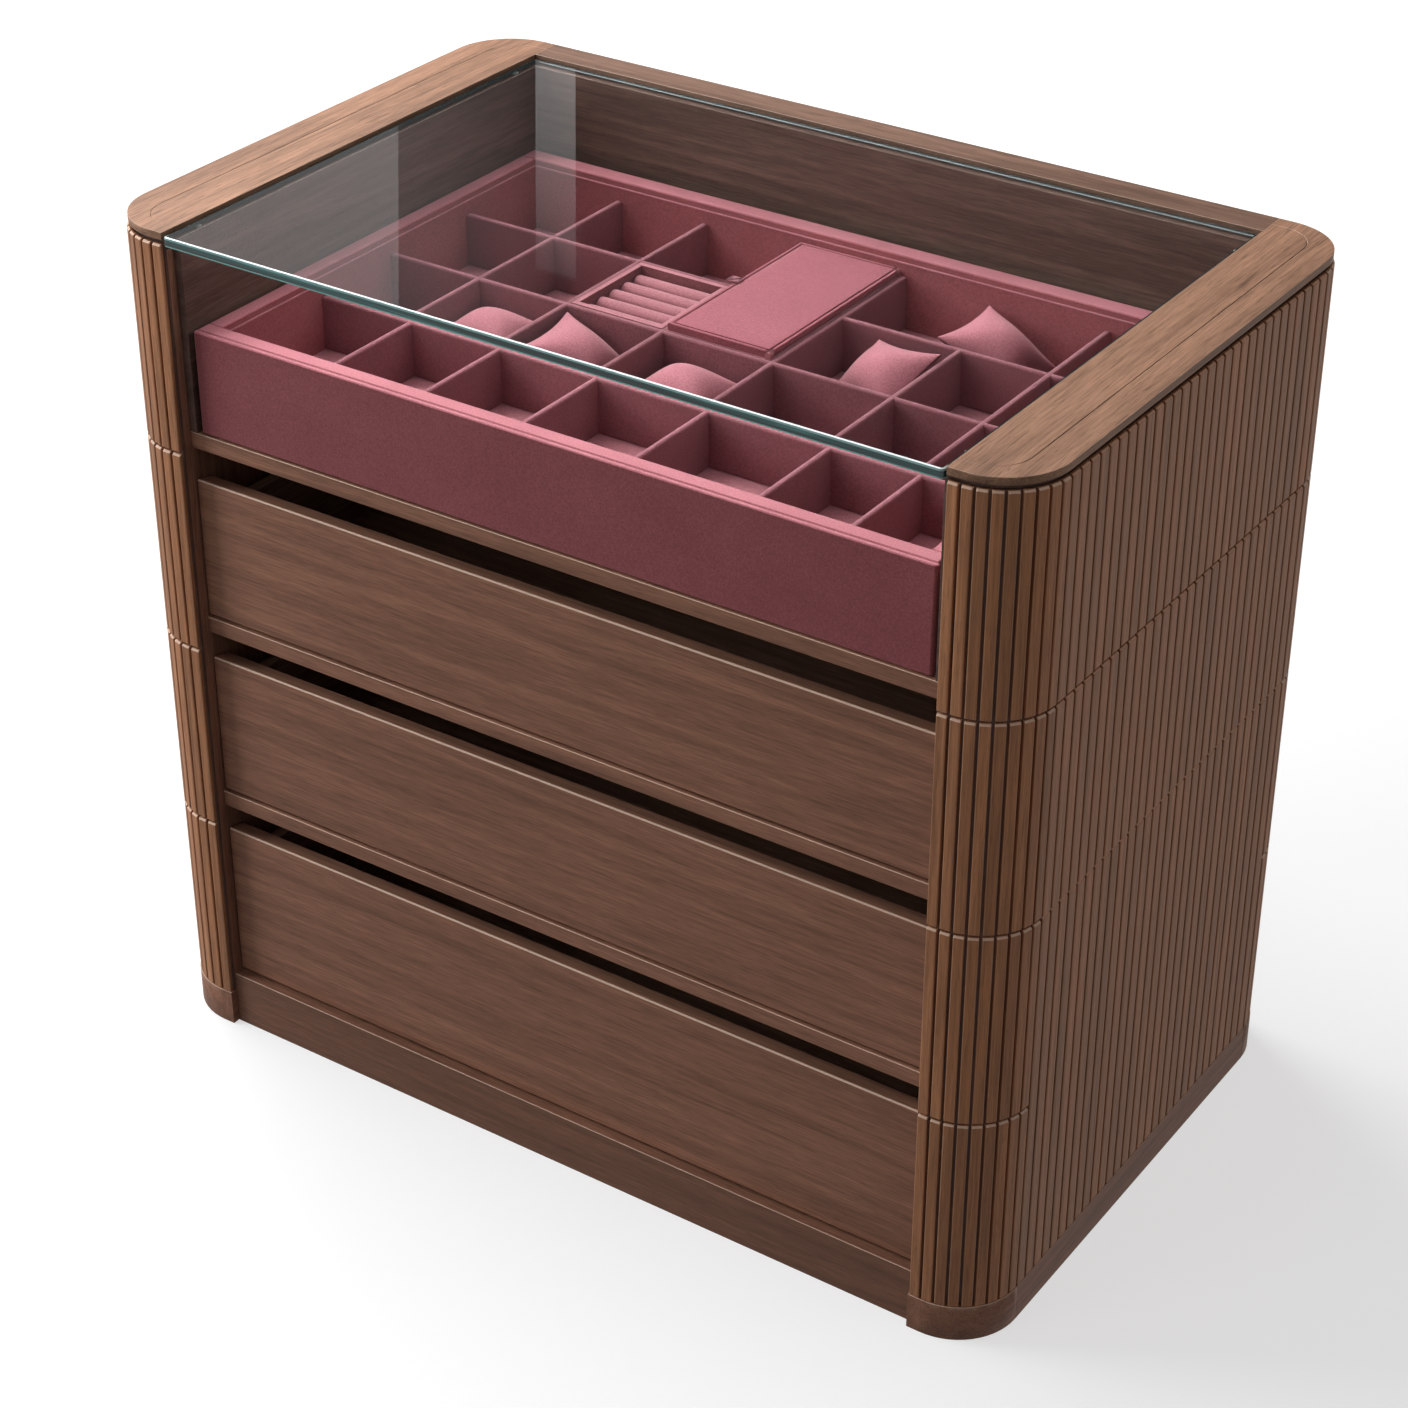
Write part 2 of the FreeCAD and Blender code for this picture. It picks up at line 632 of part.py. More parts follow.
def padded_roll(start, length):
    """Round roll along X with eased ends."""
    eased = ROLL_R - ROLL_END_R
    outline = [(0, 0), (0, eased), (ROLL_END_R, ROLL_R), (length - ROLL_END_R, ROLL_R), (length, eased), (length, 0)]
    ring = [start + V(x, r, 0) for x, r in outline]
    face = Part.Face(Part.Wire([line(a, b) for a, b in zip(ring, ring[1:] + ring[:1])]))
    return face.revolve(start, V(1, 0, 0), FULL_TURN)


def make_ring_insert():
    x0, x1, y0, y1 = cell(RING_CELL)
    x0, x1, y0, y1 = x0 + INSERT_FIT, x1 - INSERT_FIT, y0 + INSERT_FIT, y1 - INSERT_FIT
    base_top = CELL_FLOOR + INSERT_BASE_T
    border = INSERT_BORDER
    frame = [
        box(x0, x1, y0, y1, CELL_FLOOR, base_top),
        box(x0, x1, y0, y0 + border, base_top, DIVIDER_TOP),
        box(x0, x1, y1 - border, y1, base_top, DIVIDER_TOP),
        box(x0, x0 + border, y0 + border, y1 - border, base_top, DIVIDER_TOP),
        box(x1 - border, x1, y0 + border, y1 - border, base_top, DIVIDER_TOP),
    ]
    save("ring_insert_frame", frame)
    span = y1 - y0 - 2 * border
    pitch = span / ROLL_COUNT
    length = x1 - x0 - 2 * border - 2 * ROLL_FIT
    rolls = []
    for i in range(ROLL_COUNT):
        y = y0 + border + (i + 0.5) * pitch
        rolls.append(padded_roll(V(x0 + border + ROLL_FIT, y, base_top + ROLL_R + ROLL_REST), length))
    save("ring_rolls", rolls)


def hinge_ear(axis, foot, length):
    """Upright ear from its foot up to a round top about the hinge's axis."""
    half = LID_T / 2
    left, right = axis - V(half, 0, 0), axis + V(half, 0, 0)
    left_foot, right_foot = V(left.x, axis.y, foot), V(right.x, axis.y, foot)
    ring = [
        line(left_foot, right_foot),
        line(right_foot, right),
        Part.Arc(right, axis + V(0, 0, half), left).toShape(),
        line(left, left_foot),
    ]
    return Part.Face(Part.Wire(ring)).extrude(V(0, length, 0))


def make_lidded_box():
    """Framed compartment with a lid that turns on two pins along its right edge."""
    x0, x1, y0 = cell(LID_CELLS[0])[:3]
    y1 = cell(LID_CELLS[1])[3]
    rest = DIVIDER_TOP - LID_REST
    border = LID_BORDER
    lid_z0 = DIVIDER_TOP
    lid_z1 = lid_z0 + LID_T
    axis_x = x1 - LID_FIT - LID_T / 2
    axis_z = lid_z0 + LID_T / 2
    frame = [
        box(x0, x0 + border, y0, y1, CELL_FLOOR, rest),
        box(x1 - border, x1, y0, y1, CELL_FLOOR, rest),
        box(x0 + border, x1 - border, y0, y0 + border, CELL_FLOOR, rest),
        box(x0 + border, x1 - border, y1 - border, y1, CELL_FLOOR, rest),
    ]
    save("lidded_box_walls", frame)

    lid_y0, lid_y1 = y0 + LID_FIT, y1 - LID_FIT
    half = LID_T / 2
    ring = [
        line(V(x0 + LID_FIT, 0, lid_z0), V(axis_x, 0, lid_z0)),
        Part.Arc(V(axis_x, 0, lid_z0), V(axis_x + half, 0, axis_z), V(axis_x, 0, lid_z1)).toShape(),
        line(V(axis_x, 0, lid_z1), V(x0 + LID_FIT, 0, lid_z1)),
        line(V(x0 + LID_FIT, 0, lid_z1), V(x0 + LID_FIT, 0, lid_z0)),
    ]
    lid = Part.Face(Part.Wire(ring)).extrude(V(0, lid_y1 - lid_y0, 0))
    lid.translate(V(0, lid_y0, 0))
    ears, pins = [], []
    bore = LID_PIN_R + LID_PIN_PLAY
    ear_x = axis_x - half
    for y, toward in ((y0, 1), (y1, -1)):
        edge = y + toward * LID_EAR_L
        notch = edge + toward * LID_REST
        lid = lid.cut(box(ear_x - LID_REST, x1, min(y, notch), max(y, notch), lid_z0, lid_z1))
        lid = lid.cut(Part.makeCylinder(bore, LID_PIN_L, V(axis_x, edge, axis_z), V(0, toward, 0)))
        ears.append(hinge_ear(V(axis_x, min(y, edge), axis_z), rest, LID_EAR_L))
        pin_l = LID_PIN_L - LID_REST
        pins.append(Part.makeCylinder(LID_PIN_R, pin_l, V(axis_x, edge, axis_z), V(0, toward, 0)))
    save("box_lid", lid.Solids)
    save("lid_hinge", ears + pins)

    middle = (lid_y0 + lid_y1) / 2
    tab_x = x0 + LID_FIT + TAB_W / 2
    tab = box(tab_x - TAB_L, tab_x, middle - TAB_W / 2, middle + TAB_W / 2, lid_z1, lid_z1 + TAB_T)
    end = [e for e in tab.Edges if e.BoundBox.ZLength > 1 and e.CenterOfMass.x < tab_x - 1]
    save("lid_pull_tab", [tab.makeFillet(TAB_R, end)])


def pillow_section(share):
    """Square with drawn-in sides, at a share of half the pillow's thickness above its middle."""
    size = max((1 - abs(share) ** PILLOW_CROWN) ** PILLOW_EDGE, PILLOW_MIDDLE)
    half = PILLOW_SIDE / 2
    points = []
    for turn in range(4):
        for run in range(PILLOW_SIDE_RUNS):
            along = run / PILLOW_SIDE_RUNS
            inward = 4 * PILLOW_DRAW * along * (1 - along)
            point = V(half * (1 - 2 * along), half - inward, 0) * size
            point.z = share * PILLOW_T / 2
            spun = FreeCAD.Rotation(V(0, 0, 1), turn * FULL_TURN / 4).multVec(point)
            points.append(spun)
    return points


def flat_face(points):
    return Part.Face(Part.makePolygon(points + points[:1]))


def pillow():
    """Crowned square pillow lying flat about the origin, as flat-sided bands between its sections."""
    levels = [-level for level in reversed(PILLOW_LEVELS)] + [0.0] + list(PILLOW_LEVELS)
    rings = [pillow_section(level) for level in levels]
    faces = [flat_face(rings[0]), flat_face(rings[-1])]
    for low, high in zip(rings, rings[1:]):
        for i in range(len(low)):
            faces.append(flat_face([low[i - 1], low[i], high[i], high[i - 1]]))
    return Part.makeSolid(Part.makeShell(faces))


def make_pillows():
    for name, cell_name, spin, lean, turn, across, along in PILLOWS:
        x0, x1, y0, y1 = cell(cell_name)
        shape = pillow()
        shape.rotate(V(0, 0, 0), V(0, 0, 1), spin)
        shape.rotate(V(0, 0, 0), V(1, 0, 0), lean)
        shape.rotate(V(0, 0, 0), V(0, 0, 1), turn)
        lowest = shape.BoundBox.ZMin
        shape.translate(V(x0 + across * (x1 - x0), y0 + along * (y1 - y0), CELL_FLOOR + PILLOW_REST - lowest))
        save(name, [shape])


def make_glides():
    x1 = CELLS_HALF - GLIDE_INSET
    y0, y1 = TRAY_FRONT + GLIDE_INSET, TRAY_REAR - GLIDE_INSET
    save("tray_glides", both_sides([box(x1 - GLIDE_W, x1, y0, y1, SHELF_TOP, SHELF_TOP + GLIDE_T)]))


def main():
    os.makedirs("parts", exist_ok=True)
    make_slats()
    make_columns()
    make_base()
    make_caps()
    make_glass()
    make_bay()
    make_shelves()
    make_drawers()
    make_glides()
    make_tray_shell()
    make_tray_rim()
    make_dividers()
    make_ring_insert()
    make_lidded_box()
    make_pillows()


main()
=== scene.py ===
"""Looks of the jewelry display cabinet round its CAD frame: wood, suede, glass and cushions.

Metres. +X to the right, +Y to the back, +Z up, as in the frame.
"""

import math
import random

import bpy
from mathutils import Matrix, Vector


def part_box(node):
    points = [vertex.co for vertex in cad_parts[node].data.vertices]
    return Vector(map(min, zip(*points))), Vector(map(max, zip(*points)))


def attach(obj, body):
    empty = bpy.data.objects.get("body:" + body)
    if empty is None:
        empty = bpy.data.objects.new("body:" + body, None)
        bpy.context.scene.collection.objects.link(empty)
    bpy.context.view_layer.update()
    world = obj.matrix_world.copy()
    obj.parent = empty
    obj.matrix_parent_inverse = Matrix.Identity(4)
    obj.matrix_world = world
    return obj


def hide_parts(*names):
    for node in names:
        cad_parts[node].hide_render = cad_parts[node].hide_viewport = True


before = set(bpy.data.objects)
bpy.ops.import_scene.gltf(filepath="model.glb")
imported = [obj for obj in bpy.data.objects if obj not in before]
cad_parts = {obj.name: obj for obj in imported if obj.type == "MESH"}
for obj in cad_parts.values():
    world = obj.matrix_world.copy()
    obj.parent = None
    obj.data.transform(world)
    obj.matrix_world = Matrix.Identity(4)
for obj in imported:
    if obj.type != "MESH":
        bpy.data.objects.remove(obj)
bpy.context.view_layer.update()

TINY = 0.00001
QUARTER = math.pi / 2

# Camera, fitted to corners of the cabinet: degrees, and millimetres of lens and sensor
CAMERA_PLACE = (1.5021, -2.2525, 2.0372)
CAMERA_TURN = (58.6062, -0.0715, 34.1052)
CAMERA_LENS = 80.82
CAMERA_SENSOR = 36.0
CAMERA_NEAR = 0.1

# Columns
HALF_WIDTH = 0.495
HALF_OPEN = 0.415
FRONT = -0.306
CORNER_R = 0.066
BASE_H = 0.040
SLAT_TOP = 0.888
SLAT_INSET = 0.0006
SLAT_DEPTH = 0.0052
GROOVE_W = 0.0030
GROOVE_D = 0.004
BACKING_T = 0.0028
BACKING_STEPS = 10
SLAT_ARRIS = 0.0010
SLAT_TOP_ARRIS = 0.0018
SLAT_FOOT_ARRIS = 0.0007
CORNER_SLATS = 9
SIDE_SLATS = 30
COLUMN_SIDES = (("right", 1), ("left", -1))

# How far apart the slats' cuts may lie in the wood
WOOD_RANGE = 3

# Seams between tiers: share of the slats' height, and width
CORNER_TIERS = ((0.252, 0.003), (0.494, 0.003), (0.748, 0.003))
SIDE_TIERS = ((0.494, 0.0008), (0.748, 0.003))

# Glass, and the depths between which its front edge gives way to the others
GLASS_CORNER_R = 0.004
GLASS_ARRIS = 0.0022
GLASS_FRONT = (FRONT + 0.006, FRONT + 0.012)

# Tray: middles of its dividers from left to right and from front to back
COLUMNS = (-0.27503, -0.16903, -0.05703, 0.06597, 0.19597, 0.28978)
ROWS = (-0.123, -0.017, 0.105)
SHORT_DIVIDER = COLUMNS[4]
LID_SIDES = COLUMNS[2:4]
CAD_DIVIDER_T = 0.005
DIVIDER_T = 0.0068
DIVIDER_ROUND = 0.0031
PAD_DIP = 0.0016
PIPING = 0.0016
PIPING_ROUND = 0.45 * PIPING
PIPING_OVERLAP = 0.001

# Lid
LID_BORDER = 0.0036
LID_SEAM = 0.0013
LID_SEAM_SHADE_T = 0.0003
LID_SINK = 0.0002
LID_COVER_T = 0.0014
LID_COVER_ROUND = 0.0006
LID_CROWN = 0.0004
LID_EAR = 0.0068
TAB_CORNER_R = 0.0015
TAB_ROUND = 0.0004

# Insets that shape a top face, each a width and a depth
PAD_SWELL = ((0.009, 0.75 * PAD_DIP), (0.009, 0.25 * PAD_DIP))
LID_SWELL = ((0.005, 0.7 * LID_CROWN), (0.008, 0.3 * LID_CROWN))
TAB_STITCHING = ((0.0009, 0), (0.0003, -0.0005), (0.0003, 0.0005))

# Cushions, blown up from a bag a metre across
CUSHION_CUTS = 34
CUSHION_EDGE = 0.004
CUSHION_DRAW = 0.11
CUSHION_PRESSURE = 12.0
CUSHION_FRAMES = 30
CUSHION_SIDE = 0.092
CUSHION_T = 0.052

# Turn in its own plane, lean, and turn of the raised edge, as in the source
CUSHIONS = {
    "pillow_1": (0, 0, 2),
    "pillow_2": (0, 31, 96),
    "pillow_3": (0, 0, -2),
    "pillow_4": (22, 31, -38),
    "pillow_5": (0, 29, 87),
}

# Ring rolls, blown up at ten times their size
ROLL_COUNT = 5
ROLL_SCALE = 10
ROLL_SIDES = 28
ROLL_CUTS = 26
ROLL_ROUND = 0.22
ROLL_PRESSURE = 4.0
ROLL_FRAMES = 14

# Degrees between faces from which an edge is eased, and from which it stays sharp
EASED_ANGLE = 30
SHARP_ANGLE = 40

# Light, middle and dark tone of each wood
CARCASS = ("#a6765f", "#986b56", "#855d4b")
DRAWER_BOX = ("#bf9880", "#b18b73", "#9d7963")
PLINTH = ("#8d634f", "#815a48", "#714e3d")
INNER = ("#71574e", "#634b43", "#533e37")
SLATS = ("#c4875f", "#b57a54", "#9d6946")
SIDES = ("#be805a", "#b0754f", "#986441")
CAP = ("#ab8067", "#9e775f", "#896652")
BACK_RAIL = ("#8a6a5a", "#7c5f50", "#6b5144")
# Painted highlights: the paler colour of walnut's eased edges that face up, and of the slats' eased
# edges
WALNUT_EDGE_HIGHLIGHT = "#f0d2bc"
SLAT_EDGE_HIGHLIGHT = "#d9a988"

# How much finer the figure of the wood is across its fibres
ACROSS = 24.0

# Studio
FLOOR_HALF = 14.0
ROOM_LIGHT = 0.2
MIDDLE = (0, 0, 0.45)

random.seed(7)


# ---------------------------------------------------------------- materials


def rgb(written):
    """Linear colour of a written one, such as #8a6450."""
    parts = [int(written[i : i + 2], 16) / 255 for i in (1, 3, 5)]
    return [c / 12.92 if c <= 0.04045 else ((c + 0.055) / 1.055) ** 2.4 for c in parts] + [1.0]


WHITE = rgb("#ffffff")


class Nodes:
    """A tree put together node by node."""

    def __init__(self, tree):
        self.tree = tree

    def feed(self, node, inputs):
        for key, value in inputs.items():
            if isinstance(value, bpy.types.NodeSocket):
                self.tree.links.new(value, node.inputs[key])
            else:
                node.inputs[key].default_value = value

    def add(self, kind, inputs=None, **settings):
        node = self.tree.nodes.new("ShaderNode" + kind)
        for key, value in settings.items():
            setattr(node, key, value)
        self.feed(node, inputs or {})
        return node

    def calculate(self, operation, *values):
        return self.add("Math", dict(enumerate(values)), operation=operation).outputs[0]

    def seen(self):
        """1 for what the camera sees, itself or through glass or in a mirror."""
        ray = self.add("LightPath").outputs
        straight = self.calculate("MAXIMUM", ray["Is Camera Ray"], ray["Is Glossy Ray"])
        return self.calculate("MAXIMUM", straight, ray["Is Transmission Ray"])


class Finish(Nodes):
    """A material."""

    def __init__(self, name, **shader):
        self.material = bpy.data.materials.new(name)
        self.material.use_nodes = True
        super().__init__(self.material.node_tree)
        self.shader = self.tree.nodes["Principled BSDF"]
        self.feed(self.shader, {key.replace("_", " "): value for key, value in shader.items()})

    def place(self, scale=(1, 1, 1), attribute=None):
        """Coordinates on the piece, stretched."""
        if attribute:
            source = self.attribute(attribute)["Vector"]
        else:
            source = self.add("TexCoord").outputs["Object"]
        return self.add("Mapping", {"Vector": source, "Scale": scale}).outputs["Vector"]

    def coordinate(self, axis):
        return self.add("SeparateXYZ", {"Vector": self.place()}).outputs[axis]

    def attribute(self, name):
        return self.add("Attribute", attribute_name=name).outputs

    def facing(self, axis):
        """How far the surface faces along an axis."""
        normal = self.add("NewGeometry").outputs["Normal"]
        return self.add("SeparateXYZ", {"Vector": normal}).outputs[axis]

    def noise(self, where, scale, detail=2.0, distortion=0.0, roughness=0.5):
        kind = {"Scale": scale, "Detail": detail, "Distortion": distortion, "Roughness": roughness}
        return self.add("TexNoise", {"Vector": where, **kind}).outputs["Fac"]

    def ramp(self, value, *stops):
        """Colours or brightnesses along a value. Each stop is a place and what is there."""
        node = self.add("ValToRGB", {"Fac": value})
        while len(node.color_ramp.elements) < len(stops):
            node.color_ramp.elements.new(0.5)
        for element, (place, colour) in zip(node.color_ramp.elements, stops):
            element.position = place
            element.color = colour if hasattr(colour, "__len__") else (colour, colour, colour, 1)
        return node.outputs["Color"]

    def mix(self, share, a, b, blend="MIX"):
        node = self.tree.nodes.new("ShaderNodeMix")
        node.data_type = "RGBA"
        node.blend_type = blend
        self.feed(node, {0: share, 6: a, 7: b})
        return node.outputs[2]

    def shaded(self, tone, value, *stops):
        """A tone multiplied by a ramp."""
        return self.mix(1.0, tone, self.ramp(value, *stops), "MULTIPLY")

    def spread(self, value, low, high, start=0.0, end=1.0):
        """A value from start to end, brought to low to high."""
        limits = {"From Min": start, "From Max": end, "To Min": low, "To Max": high}
        return self.add("MapRange", {"Value": value, **limits}).outputs["Result"]

    def front_share(self):
        """1 along the front of the glass, 0 behind it."""
        return self.spread(self.coordinate("Y"), 1.0, 0.0, *GLASS_FRONT)

    def bump(self, height, strength, distance, under=None):
        inputs = {"Height": height, "Strength": strength, "Distance": distance}
        if under:
            inputs["Normal"] = under
        return self.add("Bump", inputs).outputs["Normal"]

    def done(self, tone, roughness, relief):
        """Gives the shader its last inputs."""
        self.feed(self.shader, {"Base Color": tone, "Roughness": roughness, "Normal": relief})
        return self.material


def walnut(name, light, middle, dark, grain="z", board=False, lines=0.5, arris=0.5, shine=0.2):
    """Oiled walnut, its fibres running along the grain's axis, with a painted highlight on eased
    edges that face up.

    A board carries its own cut of the wood, its own tone and its eased edges as attributes,
    and gets a painted highlight on those edges as well.
    """
    finish = Finish(name, Specular_IOR_Level=shine)
    scale = [1.0 if axis == grain else ACROSS for axis in "xyz"]
    where = finish.place(scale, "board" if board else None)
    figure = finish.noise(where, 2.6, detail=3, distortion=0.9)
    tone = finish.ramp(figure, (0.3, rgb(dark)), (0.5, rgb(middle)), (0.7, rgb(light)))
    fibres = finish.noise(where, 14 if board else 26, detail=5, distortion=0.3, roughness=0.65)
    tone = finish.shaded(tone, fibres, (0.36, 0.76), (0.64, 1.18))
    wavy = finish.noise(where, 8, distortion=0.7)
    line = finish.ramp(wavy, (0.462, 1.0), (0.492, 0.42), (0.53, 1.0))
    broken = finish.ramp(finish.noise(where, 17, detail=1), (0.46, 0.0), (0.56, 1.0))
    tone = finish.mix(finish.spread(broken, 0.0, lines), tone, line, "MULTIPLY")
    pores = finish.noise(where, 64)
    pitted = finish.ramp(pores, (0.56, 1.0), (0.68, 0.62))
    tone = finish.mix(0.6, tone, pitted, "MULTIPLY")
    if board:
        tone = finish.shaded(tone, finish.attribute("tone")["Fac"], (0.0, 0.86), (1.0, 1.1))
        # Painted highlight: the slats' eased edges, found by the rim attribute, are made paler as
        # if lit
        rim = finish.attribute("rim")["Fac"]
        rim = finish.ramp(rim, (0.02, 0.0), (0.3, 0.5), (0.7, 0.5), (0.98, 0.0))
        tone = finish.mix(rim, tone, rgb(SLAT_EDGE_HIGHLIGHT))
    # Painted highlight: eased edges that face up are made paler, as where the top light catches
    # them
    eased = finish.ramp(finish.facing("Z"), (0.2, 0.0), (0.4, 1.0), (0.9, 1.0), (0.98, 0.0))
    tone = finish.mix(finish.spread(eased, 0.0, arris), tone, rgb(WALNUT_EDGE_HIGHLIGHT))
    relief = finish.bump(fibres, 0.22, 0.0004)
    relief = finish.bump(pitted, 0.3, 0.0003, relief)
    return finish.done(tone, finish.spread(fibres, 0.42, 0.58), relief)


def suede(name, light, dark, upright=(1.0, 1.0, 1.0), steep=0.1):
    """Brushed suede: soft patches where the nap lies over, and a fine mottled pile.

    What faces up less than steep is darkened by upright, and what faces up more, by less:
    this darkening is painted shade.
    """
    finish = Finish(
        name,
        Specular_IOR_Level=0.06,
        Sheen_Weight=0.4,
        Sheen_Roughness=0.45,
        Sheen_Tint=rgb("#efc9cf"),
    )
    where = finish.place()
    brushed = finish.noise(where, 14, distortion=0.4)
    pile = finish.noise(where, 620, detail=3, roughness=0.7)
    hair = finish.noise(where, 2400, detail=1)
    tone = finish.ramp(brushed, (0.3, rgb(dark)), (0.7, rgb(light)))
    tone = finish.shaded(tone, pile, (0.3, 0.74), (0.7, 1.24))
    # Painted shade: the more a face stands up, the darker it is made, and redder where upright says
    # so
    tone = finish.shaded(tone, finish.facing("Z"), (steep, (*upright, 1)), (0.97, 1.0))
    relief = finish.bump(pile, 0.35, 0.0004)
    relief = finish.bump(hair, 0.3, 0.0002, relief)
    return finish.done(tone, finish.spread(pile, 0.86, 0.98), relief)


def clear_glass(name):
    """Float glass, green in its depth, that lets lamps through."""
    finish = Finish(name, Base_Color=WHITE, Roughness=0.0, IOR=1.5, Transmission_Weight=1.0)
    shadow = finish.add("LightPath").outputs["Is Shadow Ray"]
    clear = finish.add("BsdfTransparent", {"Color": rgb("#f4f8f6")}).outputs[0]
    mixed = finish.add("MixShader", {0: shadow, 1: finish.shader.outputs[0], 2: clear})
    body = finish.add("VolumeAbsorption", {"Color": rgb("#7fd0c4"), "Density": 3.0})
    out = finish.tree.nodes["Material Output"]
    finish.feed(out, {"Surface": mixed.outputs[0], "Volume": body.outputs[0]})
    return finish.material


def glass_edge(name):
    """The cut edge of the glass: in front sea green with streaks along it, elsewhere dark grey."""
    finish = Finish(name, Specular_IOR_Level=0.6)
    streaks = finish.noise(finish.place((5, 5, 300)), 1, detail=3)
    green = ((0.38, rgb("#0a2627")), (0.6, rgb("#194f4e")), (0.74, rgb("#59a19c")))
    tone = finish.mix(finish.front_share(), rgb("#2a3434"), finish.ramp(streaks, *green))
    return finish.done(tone, finish.spread(streaks, 0.1, 0.24), finish.bump(streaks, 0.1, 0.0002))


def ground_arris(name):
    """The narrow ground bevels of the glass.

    In front they are white above and sea green below, behind grey, and dark at the sides:
    painted highlight and painted shade, set by which way each bevel faces.
    """
    finish = Finish(name, Specular_IOR_Level=0.5)
    # Painted highlight and shade: each bevel's brightness follows which way it faces, up or down,
    # back or to a side
    upward = finish.facing("Z")
    front = ((0.0, rgb("#8fe0d8")), (0.3, rgb("#3f7f7c")), (0.8, rgb("#d3dedd")))
    front = finish.ramp(upward, *front)
    back = finish.ramp(upward, (0.0, rgb("#5d6464")), (0.8, rgb("#a2a9a9")))
    sideways = finish.calculate("ABSOLUTE", finish.facing("X"))
    others = finish.mix(finish.ramp(sideways, (0.1, 0.0), (0.4, 1.0)), back, rgb("#263a3b"))
    tone = finish.mix(finish.front_share(), others, front)
    ground = finish.noise(finish.place(), 700)
    tone = finish.shaded(tone, ground, (0.3, 0.86), (0.7, 1.0))
    return finish.done(tone, finish.spread(ground, 0.12, 0.3), finish.bump(ground, 0.1, 0.0002))


def plain_metal(name, colour):
    """Zinc plated steel with fine drawn lines."""
    finish = Finish(name, Metallic=1.0)
    drawn = finish.noise(finish.place((400, 6, 400)), 3, detail=3)
    clouds = finish.noise(finish.place(), 60)
    tone = finish.mix(0.5, rgb(colour), finish.ramp(clouds, (0.3, 0.35), (0.7, 0.62)))
    return finish.done(tone, finish.spread(drawn, 0.28, 0.5), finish.bump(drawn, 0.1, 0.0002))


def soft_plastic(name, colour, **shader):
    """Plastic, rubber or enamel with a fine grain."""
    finish = Finish(name, **shader)
    grain = finish.noise(finish.place(), 900)
    tone = finish.shaded(rgb(colour), grain, (0.3, 0.9), (0.7, 1.0))
    return finish.done(tone, finish.spread(grain, 0.35, 0.55), finish.bump(grain, 0.1, 0.0002))


# arris is the share of the painted highlight on eased edges that face up
corner_walnut = walnut("corner_walnut", *SLATS, board=True, shine=0.35)
side_walnut = walnut("side_walnut", *SIDES, board=True, arris=0.0, shine=0.35)
cap_walnut = walnut("cap_walnut", *CAP, grain="y", lines=0.75, arris=0.3)
rail_walnut = walnut("rail_walnut", *BACK_RAIL, grain="x", lines=0.6)
front_walnut = walnut("front_walnut", *CARCASS, grain="x", lines=0.25, arris=0.7)
plinth_walnut = walnut("plinth_walnut", *PLINTH, grain="x", lines=0.25, arris=0.6)
carcass_upright = walnut("carcass_upright", *CARCASS)
base_walnut = walnut("base_walnut", *CARCASS, grain="y")
box_along = walnut("box_along", *DRAWER_BOX, grain="x", lines=0.3)
box_deep = walnut("box_deep", *DRAWER_BOX, grain="y", lines=0.3)
inner_along = walnut("inner_along", *INNER, grain="x", lines=0.2)
inner_deep = walnut("inner_deep", *INNER, grain="y", lines=0.2)
inner_upright = walnut("inner_upright", *INNER, lines=0.2)
# Each upright colour is painted shade on the steeper faces: on the cushions their rounded sides, on
# the lining the walls inside the cells and the rolls
rose_suede = suede("rose_suede", "#b36f77", "#ab6870", (0.77, 0.655, 0.61))
lining_suede = suede("lining_suede", "#b3757d", "#ab6f77", (0.52, 0.45, 0.435))
divider_suede = suede("divider_suede", "#955f67", "#8d5961", (0.76, 0.68, 0.66))
lid_suede = suede("lid_suede", "#a25c66", "#9a5660", (0.7, 0.62, 0.6))
cushion_suede = suede("cushion_suede", "#bd7781", "#b5717b", (0.38, 0.33, 0.33), steep=0.3)
piping_suede = suede("piping_suede", "#b97880", "#b17078")
# Dark thread of the cushions' seams, and painted shade in the lid's seam
seam_thread_and_shade = suede("seam_thread_and_shade", "#6c3c41", "#643539")
float_glass = clear_glass("float_glass")
cut_glass = glass_edge("cut_glass")
glass_arris = ground_arris("glass_arris")
zinc_steel = plain_metal("zinc_steel", "#b9bcbf")
clear_rubber = soft_plastic("clear_rubber", "#dfe4e4", Transmission_Weight=0.7, IOR=1.45)
glide_plastic = soft_plastic("glide_plastic", "#d9d6cf")
rose_enamel = soft_plastic("rose_enamel", "#a06065")


# ---------------------------------------------------------------- CAD nodes


def dress(piece, material):
    piece.data.materials.clear()
    piece.data.materials.append(material)


def soften(piece, width, segments):
    """Eases the sharp edges of a CAD node."""
    weld = piece.modifiers.new("weld", "WELD")
    weld.merge_threshold = TINY
    bevel = piece.modifiers.new("eased", "BEVEL")
    bevel.width = width
    bevel.segments = segments
    bevel.limit_method = "ANGLE"
    bevel.angle_limit = math.radians(EASED_ANGLE)
    bevel.harden_normals = True


def of_drawers(ending):
    """The nodes with this ending, one in each drawer."""
    return ["drawer_%s_%s" % (number, ending) for number in "123"]


